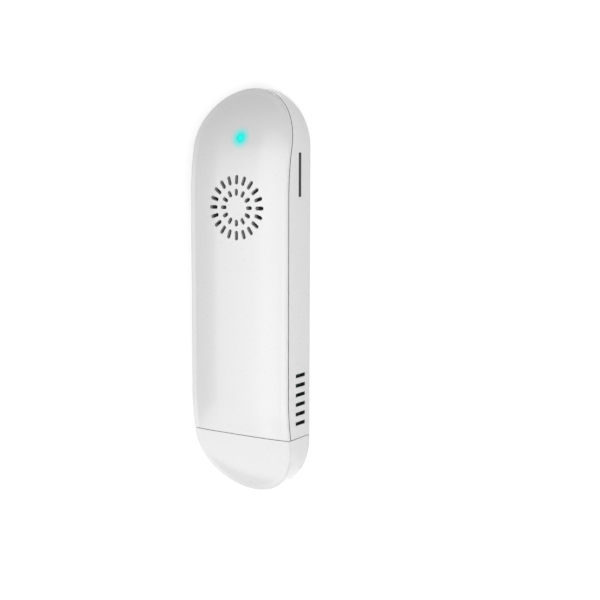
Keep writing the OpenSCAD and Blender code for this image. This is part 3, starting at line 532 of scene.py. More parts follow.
def base_rings():
    """Rings of the rounded back edge, from the flat back up to the side."""
    rings = []
    for i in range(ROUND_STEPS + 1):
        a = math.radians(90 * i / ROUND_STEPS)
        inset, height = BASE_R * (1 - math.sin(a)), BASE_R * (1 - math.cos(a))
        rings.append((inset, 0, height, math.degrees(a) - 90))
    return rings


def back(skin, y0):
    """Rounded back edge and flat back; returns the rows of the edge, lowest first."""
    rows = [ring_row(r, y0) for r in base_rings()]
    for a, b in zip(rows, rows[1:]):
        skin.strip(a, b)
    low = rows[0]
    inner = low[len(FILLET):-len(FILLET)]
    skin.flat([p for p, n in reversed(inner)], (0, 0, -1))
    for i in range(len(FILLET)):
        skin.face([low[-1 - i], low[-2 - i], low[i + 1], low[i]])
    return rows


def cap_skin():
    """Pull-off cap: one closed moulding with a hollow and ribs for the plug."""
    skin = Skin(flip=True)
    profile = front(skin, CAP_MOUTH, [])
    rows = back(skin, CAP_MOUTH)
    top = ring_row((0, 1, 0, 0), CAP_MOUTH)
    skin.strip(rows[-1], top)
    outer = [r[0][0] for r in rows] + profile + [r[-1][0] for r in rows[::-1]]
    outer = [(p[0], p[2]) for p in outer]
    side = RAD - WALL
    hollow = [(-side, FLOOR_T), (side, FLOOR_T), (side, seam(CAP_MOUTH)), (-side, seam(CAP_MOUTH))]
    well = Opening(hollow, 0, 1)
    for f in mesh_plane(outer, [well], COARSE_STEP, 0, lambda p: 1):
        skin.face([((x, CAP_MOUTH, z), (0, -1, 0)) for x, z in turned(f)])
    hollow_walls(skin, CAP_MOUTH)
    ribs(skin)
    return skin


def hollow_walls(skin, y0):
    """Inside of the cap, set in by the wall: sides, floor and roof."""
    cols = columns(y0)
    low = [on_ring(c, (WALL, 0, FLOOR_T, 180)) for c in cols]
    high = [on_ring(c, (WALL, 1, 0, 180)) for c in cols]
    skin.strip(high, low)
    skin.flat([p for p, n in low], (0, 0, 1))
    n = len(high)
    for i in range(n // 2):
        corners = [high[i], high[i + 1], high[n - 2 - i], high[n - 1 - i]]
        skin.face([(p, (0, seam_slope(p[1]), -1)) for p, _ in reversed(corners)])


RIB_T = 1.2
RIB_X = 3.4
RIB_START = 1.5
GRIP_GAP = 0.1
TIP_ROOM = 1.0
BITE = 0.1
RIB_STEPS = 8


def plate(skin, x, outline):
    """Upright plate across x with an outline in (y, z), anticlockwise seen from +X."""
    left, right = x - RIB_T / 2, x + RIB_T / 2
    skin.flat([(left, *q) for q in outline[::-1]], (-1, 0, 0))
    skin.flat([(right, *q) for q in outline], (1, 0, 0))
    for i, (y, z) in enumerate(outline):
        y0, z0 = outline[i - 1]
        ends = [(left, y0, z0), (left, y, z), (right, y, z), (right, y0, z0)]
        skin.flat(ends, (0, z - z0, y0 - y))


def ribs(skin):
    """Ribs inside the cap: a web on each side of the plug, and two that hold it above and below."""
    plug = middle("hdmi_core")
    stop = -box_mm("hdmi_shell")[0].y + TIP_ROOM
    low, high = plug.z - PLUG_SIZE[1] / 2 - GRIP_GAP, plug.z + PLUG_SIZE[1] / 2 + GRIP_GAP
    start = CAP_MOUTH + RIB_START
    reach = RAD - WALL + BITE
    web = PLUG_SIZE[0] / 2 + GRIP_GAP + RIB_T / 2
    for x, room in ((web, []), (RIB_X, [(start, high), (stop, high), (stop, low), (start, low)])):
        end = END_Y + math.sqrt(reach**2 - (x + RIB_T / 2) ** 2)
        roof = [(y, seam(y) + BITE) for y in span(end, start, RIB_STEPS)]
        outline = [(start, FLOOR_T - BITE), (end, FLOOR_T - BITE)] + roof + room
        for side in (-1, 1):
            plate(skin, side * x, outline)


# Side walls of the back shell, laid out along y up to a few steps round the arc
ARC_KEEP = 8


def wall_openings():
    """Openings of the +X wall and of the -X wall, in places along y and z."""
    vents = [VENT_Y0 + VENT_PITCH * i for i in range(VENT_COUNT)]
    plus = [rectangle((y, BUTTON_Z), VENT_SIZE, VENT_R) for y in vents]
    plus.append(rectangle((CARD_Y, CARD_Z), CARD_SIZE, CARD_R, "slit"))
    minus = [
        rectangle((y, BUTTON_Z), VENT_SIZE, VENT_R)
        for i, y in enumerate(vents) if abs(i - BUTTON_SLOT) > 1]
    hole = (BUTTON_SIZE[0] + 2 * BUTTON_GAP, BUTTON_SIZE[1] + 2 * BUTTON_GAP)
    minus.append(rectangle((BUTTON_Y, BUTTON_Z), hole, BUTTON_R + BUTTON_GAP))
    low, high = box_mm("usb_a_shell")
    size = (high.y - low.y + 2 * FIT, high.z - low.z + 2 * FIT)
    minus.append(rectangle(((low.y + high.y) / 2, (low.z + high.z) / 2), size, USB_R))
    low, high = box_mm("micro_usb_shell")
    size = (high.y - low.y + 2 * FIT, high.z - low.z + 2 * FIT)
    minus.append(tapered(
        ((low.y + high.y) / 2, (low.z + high.z) / 2), size, MICRO_NARROW + 2 * FIT, MICRO_STEP, MICRO_R))
    return plus, minus


def on_wall(side, inset, y, z, depth=0.0):
    """(point, outward direction) of a wall at y, sunk by a depth across the stick."""
    r = RAD - inset
    rise = max(y - END_Y, 0)
    x = math.sqrt(r * r - rise * rise)
    return (side * (x - depth), y, z), Vector((side * x / r, rise / r, 0))


def wall(skin, inset, starts, bottom, top, openings, facing):
    """Outer or inner skin of the back shell's wall with its openings; facing is 1 or -1."""
    cols = columns(*starts)
    first = [c[2] for c in cols].index(END_Y) + ARC_KEEP
    tilt = 0 if facing > 0 else 180
    rows = []
    for share in span(0, 1, WALL_STEPS):
        ring = [on_ring(c, (inset, 0, 0, tilt)) for c in cols[first:len(cols) - first]]
        rows.append([((p[0], p[1], bottom + (top(p[1]) - bottom) * share), n) for p, n in ring])
    for a, b in zip(rows, rows[1:]):
        skin.strip(*((a, b) if facing > 0 else (b, a)))
    places = [on_ring(c, (inset, 0, 0, 0))[0][1] for c in cols[:first + 1]]
    for side, holes in zip((1, -1), openings):
        low = [(y, bottom) for y in places]
        high = [(y, top(y)) for y in reversed(places)]
        up = [(low[-1][0], z) for z in span(bottom, high[0][1], WALL_STEPS)[1:-1]]
        down = [(low[0][0], z) for z in span(high[-1][1], bottom, WALL_STEPS)[1:-1]]
        faces = mesh_plane(
            low + up + high + down, holes, SIDE_STEP, OPENING_R if facing > 0 else 0,
            lambda p: min(p[1] - bottom, top(p[0]) - p[1], p[0] - places[0], places[-1] - p[0]))
        for f in faces:
            loop = turned(f) if side * facing > 0 else turned(f)[::-1]
            corners = [on_wall(side, inset, y, z) for y, z in loop]
            skin.face([(p, facing * n) for p, n in corners])
        for o in holes if facing > 0 else []:
            tunnel(skin, o, side)


def tunnel(skin, opening, side):
    """Rounded edge and straight sides of an opening through a side wall."""
    rows = []
    for a in span(0, math.pi / 2, FILLET_STEPS):
        row = []
        for (y, z), out in opening.loop(OPENING_R * (1 - math.sin(a))):
            p, n = on_wall(side, 0, y, z, OPENING_R * (1 - math.cos(a)))
            row.append((p, n * math.cos(a) - Vector((0, *out)) * math.sin(a)))
        rows.append(row + row[:1])
    for a, b in zip(rows, rows[1:]):
        skin.strip(*((a, b) if side > 0 else (b, a)))
    deep = [(on_wall(side, WALL, p[1], p[2])[0], n) for p, n in rows[-1]]
    # Painted shade: the straight sides of the opening get its darker material
    skin.shade(*((rows[-1], deep) if side > 0 else (deep, rows[-1])), opening.shade)


def plug_opening():
    """Opening of the end wall round the plug."""
    plug = middle("hdmi_core")
    size = (PLUG_SIZE[0] + 2 * FIT, PLUG_SIZE[1] + 2 * FIT)
    return tapered((plug.x, plug.z), size, PLUG_NARROW + 2 * FIT, PLUG_STEP, PLUG_R)


def shell_skin():
    """Back shell: walls with openings, flat back, end wall, and the stepped edge under the cover."""
    skin = Skin()
    openings = wall_openings()
    start, behind = JOINT_Y + MOUTH_R, JOINT_Y + WALL

    def lip(y):
        return seam(y) - SEAM_GAP - LIP_R

    rows = back(skin, JOINT_Y)
    wall(skin, 0, (start, behind), BASE_R, lip, openings, 1)
    corner = [[] for _ in range(WALL_STEPS + 1)]
    for level, z in zip(corner, span(BASE_R, lip(start), WALL_STEPS)):
        for side in (1, -1):
            here = ((side * RAD, start, z), (side, 0, 0))
            roll = [mouth(*here, JOINT_Y, f) for f in FILLET] + [here]
            level.append(roll if side > 0 else roll[::-1])
    for a, b in zip(corner, corner[1:]):
        skin.strip(a[0], b[0])
        skin.strip(a[1], b[1])
    edge = []
    for a in span(0, 90, FILLET_STEPS):
        c, up = math.cos(math.radians(a)), math.sin(math.radians(a))
        edge.append((LIP_R * (1 - c), 1, -SEAM_GAP - LIP_R * (1 - up), a))
    step = [(SEAM_DEPTH, 1, -SEAM_GAP, 90), (SEAM_DEPTH, 1, -SEAM_GAP, 0), (SEAM_DEPTH, 1, 0, 0)]
    edge_rows = [ring_row(r, JOINT_Y) for r in edge] + [ring_row(r, JOINT_Y, False) for r in step]
    # Painted shade in the seam: past the first strip of the lip's rounded edge, the edge, the ledge and
    # the riser get the dark opening material
    for i, (a, b) in enumerate(zip(edge_rows, edge_rows[1:])):
        (skin.shade if i else skin.strip)(a, b)
    sides = [level[0][0][0] for level in corner[1:-1]], [level[1][-1][0] for level in corner[1:-1]]
    right = [r[0][0] for r in rows] + sides[0] + [r[0][0] for r in edge_rows]
    left = [r[-1][0] for r in rows] + sides[1] + [r[-1][0] for r in edge_rows]
    end_wall(skin, right + left[::-1])
    shoulder(skin, edge_rows[-1][len(FILLET):-len(FILLET)], behind)
    wall(skin, WALL, (behind,), FLOOR_T, seam, openings, -1)
    floor = [on_ring(c, (WALL, 0, FLOOR_T, 90)) for c in columns(behind)]
    skin.face([(p, (0, 0, 1)) for p, n in floor])
    for x, y in POSTS:
        post(skin, x, y)
    return skin


def shoulder(skin, outer, behind):
    """Flat top of the walls, on which the cover rests."""
    inner = [on_ring(c, (WALL, 1, 0, 90)) for c in columns(behind)]
    top = [(p, (0, -seam_slope(p[1]), 1)) for p, n in outer]
    skin.strip(top[1:-1], inner)
    ends = [on_ring(c, (SEAM_DEPTH, 1, 0, 90)) for c in ((1.0, 0.0, JOINT_Y), (-1.0, 0.0, JOINT_Y))]
    skin.face([ends[0], top[0], top[1], inner[0], inner[-1], top[-2], top[-1], ends[1]])


POST_D = 4.0
POST_HOLE = 1.5
POST_TOP = box_mm("main_board")[0].z
POST_STEPS = 24
LOW_POST = (13.05, JOINT_Y + 5)
HIGH_POST = (8.5, TIP_Y - 9)
POSTS = [(side * x, y) for x, y in (LOW_POST, HIGH_POST) for side in (1, -1)]


def post(skin, x, y):
    """Hollow post on the floor, on which the board is screwed."""
    turns = [2 * math.pi * i / POST_STEPS for i in range(POST_STEPS + 1)]
    low = FLOOR_T - BITE
    outwards, upwards, inwards = range(3)
    section = [
        (POST_HOLE, low, outwards), (POST_D, low, outwards), (POST_D, POST_TOP, outwards),
        (POST_D, POST_TOP, upwards), (POST_HOLE, POST_TOP, upwards),
        (POST_HOLE, POST_TOP, inwards), (POST_HOLE, low, inwards)]
    rows = []
    for d, z, facing in section:
        row = []
        for a in turns:
            c, s = math.cos(a), math.sin(a)
            n = ((c, s, 0), (0, 0, 1), (-c, -s, 0))[facing]
            row.append(((x + d / 2 * c, y + d / 2 * s, z), n))
        rows.append(row)
    for a, b in zip(rows, rows[1:]):
        skin.strip(a, b)


def end_wall(skin, profile):
    """Wall behind the cap with the opening for the plug, seen from both sides."""
    hole = plug_opening()
    outer = [(p[0], p[2]) for p in profile]
    for f in mesh_plane(outer, [hole], COARSE_STEP, HOLE_R, lambda p: 1):
        skin.face([((x, JOINT_Y, z), (0, -1, 0)) for x, z in turned(f)])
    rows = fillet_rows(
        hole, HOLE_R,
        lambda p, out: ((p[0], JOINT_Y, p[1]), (0, -1, 0), (-out[0], 0, -out[1])),
        lambda p, h: (p[0], p[1] + h, p[2]))
    rows.append([((p[0], JOINT_Y + WALL, p[2]), n) for p, n in rows[-1]])
    for a, b in zip(rows, rows[1:]):
        skin.strip(a, b)
    side = RAD - WALL
    heights = span(FLOOR_T, seam(JOINT_Y + WALL), WALL_STEPS)
    rear = [(side, z) for z in heights] + [(-side, z) for z in reversed(heights)]
    for f in mesh_plane(rear, [hole], COARSE_STEP, 0, lambda p: 1):
        skin.face([((x, JOINT_Y + WALL, z), (0, 1, 0)) for x, z in turned(f)[::-1]])


# Light pipe
PIPE_LOW, PIPE_HIGH = box_mm("light_pipe")
COLLAR_R = PIPE_HIGH.x
COLLAR_T = 0.8
COLLAR_GAP = 0.05
LENS_SINK = 0.02
LENS_DOME = 0.06
LENS_R = 0.15
PIPE_STEPS = 40
DOME_STEPS = 5


def lens_skin():
    """Light pipe with a collar under the cover and a low dome that follows the front's slope."""
    skin = Skin()
    r = LIGHT_D / 2
    turns = [2 * math.pi * i / PIPE_STEPS for i in range(PIPE_STEPS + 1)]
    collar = seam(LIGHT_Y + COLLAR_R) - COLLAR_GAP
    flat_to = r - LENS_R
    below = collar - COLLAR_T
    sharp = [
        (r, PIPE_LOW.z, 0), (r, below, 0), (r, below, -90), (COLLAR_R, below, -90), (COLLAR_R, below, 0),
        (COLLAR_R, collar, 0), (COLLAR_R, collar, 90), (r, collar, 90), (r, collar, 0)]
    rows = []
    for radius, z, tilt in sharp:
        out, up = math.cos(math.radians(tilt)), math.sin(math.radians(tilt))
        row = []
        for a in turns:
            c, s = math.cos(a), math.sin(a)
            row.append(((radius * c, LIGHT_Y + radius * s, z), (out * c, out * s, up)))
        rows.append(row)
    dome = []
    for a in span(0, math.pi / 2, FILLET_STEPS):
        dome.append((flat_to + LENS_R * math.cos(a), LENS_R * (math.sin(a) - 1), math.degrees(a)))
    for radius in span(flat_to, 0, DOME_STEPS)[1:]:
        share = radius / flat_to
        lean = math.degrees(math.atan(2 * LENS_DOME * share / flat_to))
        dome.append((radius, LENS_DOME * (1 - share * share), 90 - lean))
    for radius, height, tilt in dome:
        out, up = math.cos(math.radians(tilt)), math.sin(math.radians(tilt))
        row = []
        for a in turns:
            x, y = radius * math.cos(a), LIGHT_Y + radius * math.sin(a)
            z = seam(y) + on_front(0, LIGHT_Y)[0][2] - seam(LIGHT_Y) - LENS_SINK + height
            row.append(((x, y, z), (out * math.cos(a), out * math.sin(a) - up * seam_slope(y), up)))
        rows.append(row)
    for a, b in zip(rows, rows[1:]):
        skin.strip(a, b)
    skin.flat([p for p, n in rows[0][:0:-1]], (0, 0, -1))
    return skin


# Power button and the sign on it
BUTTON_LOW, BUTTON_HIGH = box_mm("power_button")
FLANGE_T = 0.7
FACE_BACK = 0.03
FACE_R = 0.2
SIGN_R = 0.74
SIGN_LINE = 0.2
SIGN_T = 0.02
SIGN_OPEN = 38
SIGN_STEPS = 30


def button_skin():
    """Push button: face with a rounded edge, shaft, and a flange behind the wall."""
    skin = Skin()
    face = rectangle((BUTTON_Y, BUTTON_Z), BUTTON_SIZE, BUTTON_R)
    wide = rectangle((BUTTON_Y, BUTTON_Z), (BUTTON_HIGH.y - BUTTON_LOW.y, BUTTON_SIZE[1]), BUTTON_R)
    front_x = BUTTON_LOW.x + FACE_BACK
    flange_x = BUTTON_HIGH.x - FLANGE_T
    rows = []

    def row(opening, grow, x, tilt):
        back_part, out = math.sin(tilt), math.cos(tilt)
        loop = [((x, *p), (-back_part, out * d[0], out * d[1])) for p, d in opening.loop(grow)]
        rows.append(loop + loop[:1])

    for a in span(math.pi / 2, 0, ROUND_STEPS):
        row(face, FACE_R * (math.cos(a) - 1), front_x + FACE_R * (1 - math.sin(a)), a)
    row(face, 0, flange_x, 0)
    row(face, 0, flange_x, math.pi / 2)
    row(wide, 0, flange_x, math.pi / 2)
    row(wide, 0, flange_x, 0)
    row(wide, 0, BUTTON_HIGH.x, 0)
    for a, b in zip(rows, rows[1:]):
        skin.strip(a, b)
    skin.flat([p for p, n in rows[0][:0:-1]], (-1, 0, 0))
    skin.flat([p for p, n in rows[-1][:-1]], (1, 0, 0))
    return skin


def sign_skin():
    """Power sign printed on the button: an open ring and a bar that points to the front."""
    skin = Skin()
    low = BUTTON_LOW.x + FACE_BACK
    top = low - SIGN_T
    r0, r1 = SIGN_R - SIGN_LINE / 2, SIGN_R + SIGN_LINE / 2
    ring = []
    for a in span(90 + SIGN_OPEN, 450 - SIGN_OPEN, SIGN_STEPS):
        c, up = math.cos(math.radians(a)), math.sin(math.radians(a))
        ring.append(((r0 * c, r0 * up), (r1 * c, r1 * up)))
    h = SIGN_LINE / 2
    bar = [((-h, 0.0), (h, 0.0)), ((-h, r1), (h, r1))]
    for strip in (ring, bar):
        for (a, b), (c, d) in zip(strip, strip[1:]):
            quad = [(BUTTON_Y + y, BUTTON_Z + z) for y, z in (a, b, d, c)]
            skin.flat([(top, *q) for q in quad[::-1]], (-1, 0, 0))
            skin.flat([(low, *q) for q in quad], (1, 0, 0))
        outline = [a for a, b in strip] + [b for a, b in reversed(strip)]
        for i, (y, z) in enumerate(outline):
            y0, z0 = outline[i - 1]
            near = [(BUTTON_Y + y0, BUTTON_Z + z0), (BUTTON_Y + y, BUTTON_Z + z)]
            edge = [(top, *near[0]), (top, *near[1]), (low, *near[1]), (low, *near[0])]
            skin.flat(edge[::-1], (0, z0 - z, y - y0))
    return skin


# Materials
def new_material(name):
    """Empty node material: (material, nodes, link function, principled shader)."""
    look = bpy.data.materials.new(name)
    look.use_nodes = True
    nodes = look.node_tree.nodes
    links = look.node_tree.links
    return look, nodes, links.new, nodes["Principled BSDF"]


def noise(nodes, link, scale, detail=3.0):
    """Noise over the object's own coordinates, in features per metre."""
    place = nodes.new("ShaderNodeTexCoord")
    tex = nodes.new("ShaderNodeTexNoise")
    tex.inputs["Scale"].default_value = scale
    tex.inputs["Detail"].default_value = detail
    link(place.outputs["Object"], tex.inputs["Vector"])
    return tex.outputs["Fac"]


# Values between which most of a noise lies
NOISE_LOW = 0.3
NOISE_HIGH = 0.7


def spread(nodes, link, value, low, high):
    """Maps a noise to a range."""
    ramp = nodes.new("ShaderNodeMapRange")
    ramp.inputs["From Min"].default_value = NOISE_LOW
    ramp.inputs["From Max"].default_value = NOISE_HIGH
    ramp.inputs["To Min"].default_value = low
    ramp.inputs["To Max"].default_value = high
    link(value, ramp.inputs["Value"])
    return ramp.outputs["Result"]


def between(nodes, link, value, a, b):
    """Colour between a and b."""
    mix = nodes.new("ShaderNodeMix")
    mix.data_type = "RGBA"
    mix.inputs["A"].default_value = (*a, 1)
    mix.inputs["B"].default_value = (*b, 1)
    link(value, mix.inputs["Factor"])
    return mix.outputs["Result"]


def bump(nodes, link, shader, value, depth):
    """Fine relief of the given depth in metres."""
    node = nodes.new("ShaderNodeBump")
    node.inputs["Strength"].default_value = 1.0
    node.inputs["Distance"].default_value = depth
    link(value, node.inputs["Height"])
    link(node.outputs["Normal"], shader.inputs["Normal"])


def finish(name, colours, rough, metallic=0.0, grain=(900, 4000), relief=2e-6):
    """Material whose colour and roughness wander over the surface, with a fine relief."""
    look, nodes, link, shader = new_material(name)
    wander = noise(nodes, link, grain[0])
    link(between(nodes, link, wander, *colours), shader.inputs["Base Color"])
    link(spread(nodes, link, noise(nodes, link, grain[0] * 2), *rough), shader.inputs["Roughness"])
    shader.inputs["Metallic"].default_value = metallic
    bump(nodes, link, shader, noise(nodes, link, grain[1], 2.0), relief)
    return look


def grey(value, warm=0.0):
    """Neutral colour, a little warmer or cooler."""
    return (value * (1 + warm), value, value * (1 - warm))


WHITE = (grey(0.808), grey(0.822))
WHITE_ROUGH = (0.27, 0.3)
WHITE_GRAIN = (700, 2500)
WHITE_RELIEF = 5e-7
COAT = 1.0
COAT_ROUGH = 0.15


def white_plastic(name, glow=False):
    """Glossy white moulding; the cover's carries a painted glow round the light."""
    look = finish(name, WHITE, WHITE_ROUGH, grain=WHITE_GRAIN, relief=WHITE_RELIEF)
    shader = look.node_tree.nodes["Principled BSDF"]
    shader.inputs["Coat Weight"].default_value = COAT
    shader.inputs["Coat Roughness"].default_value = COAT_ROUGH
    if glow:
        add_glow(look)
    return look


# Painted glow of the cover round the light (GLOW_ values): a cyan tint in its colour and a cyan
# emission, fading out between two distances
GLOW_TINT = (0.02, 0.8, 0.77)
GLOW_COLOUR = (0.0, 1.0, 0.92)
GLOW_LEVEL = 0.15
GLOW_START = 1.1
GLOW_R = 4.0
LENS_BRIGHT_R = 0.5
LENS_LEVEL = 0.95
LENS_RIM_LEVEL = 0.8
LENS_GLOW = ((0.0, 0.92, 0.8), (0.0, 1.0, 0.88))
LENS_BASE = ((0.0, 0.05, 0.05), (0.0, 0.08, 0.08))
LENS_ROUGH = (0.3, 0.4)
LENS_SPECULAR = 0.2
LENS_GRAIN = 1500


def fade_from_light(nodes, link, start, end, near, far):
    """Value that goes from near to far between two distances from the light, in millimetres."""
    place = nodes.new("ShaderNodeTexCoord")
    away = nodes.new("ShaderNodeVectorMath")
    away.operation = "DISTANCE"
    away.inputs[1].default_value = [c * MM for c in on_front(0, LIGHT_Y)[0]]
    link(place.outputs["Object"], away.inputs[0])
    fade = nodes.new("ShaderNodeMapRange")
    fade.interpolation_type = "SMOOTHSTEP"
    fade.inputs["From Min"].default_value = start * MM
    fade.inputs["From Max"].default_value = end * MM
    fade.inputs["To Min"].default_value = near
    fade.inputs["To Max"].default_value = far
    link(away.outputs["Value"], fade.inputs["Value"])
    return fade.outputs["Result"]


def add_glow(look):
    """Painted glow round the light pipe: a cyan emission and a cyan tint painted into the cover's
    colour, fading with the distance.
    """
    nodes = look.node_tree.nodes
    link = look.node_tree.links.new
    shader = nodes["Principled BSDF"]
    tint = nodes.new("ShaderNodeMix")
    tint.data_type = "RGBA"
    plain = shader.inputs["Base Color"].links[0].from_socket
    tint.inputs["B"].default_value = (*GLOW_TINT, 1)
    link(fade_from_light(nodes, link, GLOW_START, GLOW_R, 1, 0), tint.inputs["Factor"])
    link(plain, tint.inputs["A"])
    link(tint.outputs["Result"], shader.inputs["Base Color"])
    shader.inputs["Emission Color"].default_value = (*GLOW_COLOUR, 1)
    glow = fade_from_light(nodes, link, GLOW_START, GLOW_R, GLOW_LEVEL, 0)
    link(glow, shader.inputs["Emission Strength"])


def light_plastic():
    """Lit light pipe, brightest in its middle."""
    look, nodes, link, shader = new_material("light_plastic")
    wander = noise(nodes, link, LENS_GRAIN)
    link(between(nodes, link, wander, *LENS_GLOW), shader.inputs["Emission Color"])
    link(between(nodes, link, wander, *LENS_BASE), shader.inputs["Base Color"])
    strength = fade_from_light(nodes, link, LENS_BRIGHT_R, LIGHT_D / 2, LENS_LEVEL, LENS_RIM_LEVEL)
    link(strength, shader.inputs["Emission Strength"])
    shader.inputs["Specular IOR Level"].default_value = LENS_SPECULAR
    link(spread(nodes, link, wander, *LENS_ROUGH), shader.inputs["Roughness"])
    return look


def slot_materials():
    """One finish for each material slot of the record, each painted shade inside openings, and the fan.
    """
    return {
        "white_plastic": white_plastic("white_plastic"),
        "light_plastic": light_plastic(),
        "board_green": finish("board_green", ((0.01, 0.1, 0.04), (0.02, 0.15, 0.06)), (0.3, 0.4)),
        "chip_black": finish("chip_black", (grey(0.012), grey(0.02)), (0.45, 0.6)),
        "black_plastic": finish("black_plastic", (grey(0.045), grey(0.06)), (0.4, 0.55)),
        "pale_plastic": finish("pale_plastic", (grey(0.55, 0.02), grey(0.62, 0.02)), (0.35, 0.45)),
        "ceramic": finish("ceramic", ((0.32, 0.25, 0.17), (0.4, 0.3, 0.2)), (0.4, 0.5)),
        "wifi_blue": finish("wifi_blue", ((0.01, 0.03, 0.1), (0.02, 0.05, 0.14)), (0.3, 0.4)),
        "steel": finish("steel", (grey(0.5), grey(0.6)), (0.24, 0.36), 1.0),
        "aluminium": finish("aluminium", (grey(0.6), grey(0.68)), (0.3, 0.42), 1.0),
        "contact_gold": finish("contact_gold", ((0.7, 0.45, 0.12), (0.8, 0.55, 0.2)), (0.2, 0.3), 1.0),
        "brass": finish("brass", ((0.6, 0.42, 0.15), (0.7, 0.5, 0.2)), (0.25, 0.35), 1.0),
        "copper": finish("copper", ((0.55, 0.2, 0.08), (0.65, 0.26, 0.1)), (0.3, 0.4), 1.0),
        "ferrite": finish("ferrite", (grey(0.02), grey(0.035)), (0.5, 0.65)),
        # Painted shade for walls of white plastic: dark in deep openings and the seam, dark grey in the
        # card's slit, mid grey in the grille's slots
        "opening": finish("opening", (grey(0.02), grey(0.03)), (0.6, 0.75)),
        "slit": finish("slit", (grey(0.12), grey(0.15)), (0.6, 0.75)),
        "grille": finish("grille", (grey(0.38), grey(0.42)), (0.6, 0.75)),
        "fan_grey": finish("fan_grey", (grey(0.24), grey(0.28)), (0.4, 0.55)),
        "pad_rubber": finish("pad_rubber", ((0.15, 0.2, 0.3), (0.2, 0.26, 0.38)), (0.6, 0.75)),
    }


# The photo shows dark grey, not black, behind the grille
GREY_FAN = ("fan_frame", "fan_rotor")
LOOKS = slot_materials()
for row in frame["record"]["subparts"]:
    node = frame["nodes"][row["node"]]
    node.data.materials.clear()
    node.data.materials.append(LOOKS["fan_grey" if row["node"] in GREY_FAN else row["material_slot"]])

cover_skin().piece(
    "cover_skin", "case", "white_plastic", white_plastic("white_cover", glow=True), "front_cover")
shell_skin().piece("shell_skin", "case", "white_plastic", LOOKS["white_plastic"], "back_shell")
cap_skin().piece("cap_skin", "cap", "white_plastic", LOOKS["white_plastic"], "end_cap")
lens_skin().piece("lens_skin", "case", "light_plastic", LOOKS["light_plastic"], "light_pipe")
button_skin().piece("button_skin", "button", "white_plastic", LOOKS["white_plastic"], "power_button")
sign_skin().piece("sign_skin", "button", "black_plastic", LOOKS["black_plastic"])

# Camera at the photograph's viewing angle
CAMERA_AT = Vector((207.831, 43.874, 305.512))
CAMERA_FORWARD = Vector((-0.53172, -0.12498, -0.83765))
CAMERA_UP = Vector((-0.00339, 0.99999, 0.0))
CAMERA_LENS = 71.372
SENSOR = 36.0
NEAREST = 10


def add_camera():
    """Camera looking along its forward direction with the stick upright in the picture."""
    data = bpy.data.cameras.new("camera")
    data.lens = CAMERA_LENS
    data.sensor_width = SENSOR
    data.clip_start = NEAREST * MM
    camera = bpy.data.objects.new("camera", data)
    ahead = CAMERA_FORWARD.normalized()
    right = ahead.cross(CAMERA_UP).normalized()
    above = right.cross(ahead)
    turn = Matrix((right, above, -ahead)).transposed()
    camera.matrix_world = Matrix.LocRotScale(CAMERA_AT * MM, turn.to_quaternion(), None)
    bpy.context.scene.collection.objects.link(camera)
    bpy.context.scene.camera = camera


# Studio: lamps have a direction, a size in millimetres and a power in watts
FLOOR_HALF = 3000
FLOOR_LIFT = 0.4
FLOOR_DROP = 0.05
FLOOR_NEAR = 250
FLOOR_FAR = 900
FLOOR_TONES = (grey(0.9), grey(0.92))
FLOOR_GRAIN = 3
FLOOR_ROUGH = 0.9
WORLD_LEVEL = 0.05
LAMP_AWAY = 650
LAMPS = [
    ("over", (-0.454, 0.0, 0.891), (600, 253), 0.57),
    ("over_long", (-0.423, 0.0, 0.906), (900, 229), 0.99),
    ("end", (-0.424, -0.734, 0.53), (540, 420), 0.87),
    ("tip", (-0.383, 0.663, 0.643), (200, 160), 0.04),
    ("side", (0.74, 0.03, 0.67), (700, 400), 2.4),
    ("front", (0.42, -0.61, 0.67), (600, 350), 0.62),
]


def add_lamp(name, towards, size, power):
    """Soft rectangular lamp in a direction from the stick."""
    data = bpy.data.lights.new(name, "AREA")
    data.shape = "RECTANGLE"
    data.size, data.size_y = (s * MM for s in size)
    data.energy = power
    lamp = bpy.data.objects.new(name, data)
    away = Vector(towards).normalized()
    lamp.location = away * LAMP_AWAY * MM
    lamp.rotation_euler = away.to_track_quat("Z", "Y").to_euler()
    bpy.context.scene.collection.objects.link(lamp)


def shown_rays(nodes, link):
    """1 for rays that show the surroundings: those of the camera, of gloss and of glass."""
    rays = nodes.new("ShaderNodeLightPath")
    value = rays.outputs["Is Camera Ray"]
    for name in ("Is Glossy Ray", "Is Transmission Ray"):
        most = nodes.new("ShaderNodeMath")
        most.operation = "MAXIMUM"
        link(value, most.inputs[0])
        link(rays.outputs[name], most.inputs[1])
        value = most.outputs["Value"]
    return value


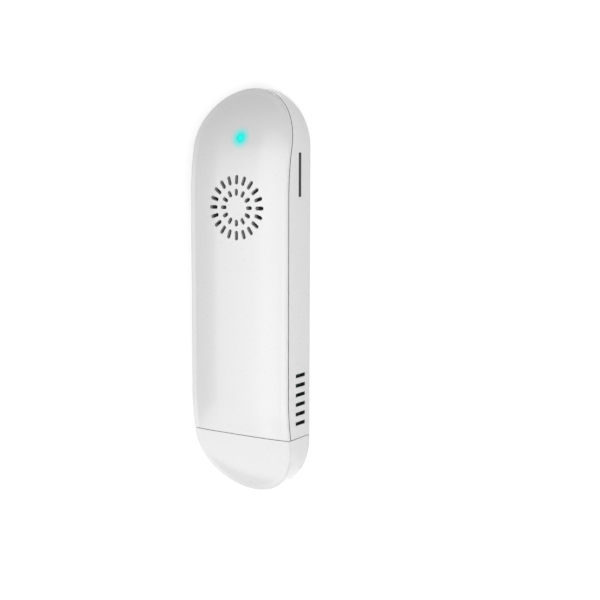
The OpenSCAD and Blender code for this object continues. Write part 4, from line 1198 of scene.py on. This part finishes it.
def add_floor():
    """Pale floor just under the stick; it shows brighter than the light on it, and white far away."""
    look, nodes, link, shader = new_material("floor")
    tone = noise(nodes, link, FLOOR_GRAIN)
    link(between(nodes, link, tone, *FLOOR_TONES), shader.inputs["Base Color"])
    shader.inputs["Roughness"].default_value = FLOOR_ROUGH
    shader.inputs["Specular IOR Level"].default_value = 0.0
    shader.inputs["Emission Color"].default_value = (1, 1, 1, 1)
    place = nodes.new("ShaderNodeTexCoord")
    away = nodes.new("ShaderNodeVectorMath")
    away.operation = "LENGTH"
    link(place.outputs["Object"], away.inputs[0])
    rise = nodes.new("ShaderNodeMapRange")
    rise.inputs["From Min"].default_value = FLOOR_NEAR * MM
    rise.inputs["From Max"].default_value = FLOOR_FAR * MM
    rise.inputs["To Min"].default_value = FLOOR_LIFT
    rise.inputs["To Max"].default_value = 1.0
    link(away.outputs["Value"], rise.inputs["Value"])
    lift = nodes.new("ShaderNodeMath")
    lift.operation = "MULTIPLY"
    link(rise.outputs["Result"], lift.inputs[0])
    link(shown_rays(nodes, link), lift.inputs[1])
    link(lift.outputs["Value"], shader.inputs["Emission Strength"])
    mesh = bpy.data.meshes.new("floor")
    half, low = FLOOR_HALF * MM, -FLOOR_DROP * MM
    border = [(-half, -half, low), (half, -half, low), (half, half, low), (-half, half, low)]
    mesh.from_pydata(border, [], [(0, 1, 2, 3)])
    mesh.materials.append(look)
    floor = bpy.data.objects.new("floor", mesh)
    bpy.context.scene.collection.objects.link(floor)


def add_world():
    """Even pale surroundings, which show white."""
    world = bpy.data.worlds.new("studio")
    world.use_nodes = True
    nodes = world.node_tree.nodes
    link = world.node_tree.links.new
    around = nodes["Background"]
    around.inputs["Color"].default_value = (1, 1, 1, 1)
    level = nodes.new("ShaderNodeMath")
    level.operation = "MAXIMUM"
    level.inputs[1].default_value = WORLD_LEVEL
    link(shown_rays(nodes, link), level.inputs[0])
    link(level.outputs["Value"], around.inputs["Strength"])
    bpy.context.scene.world = world


add_camera()
add_floor()
add_world()
for lamp in LAMPS:
    add_lamp(*lamp)

bpy.context.scene.view_settings.view_transform = "Standard"
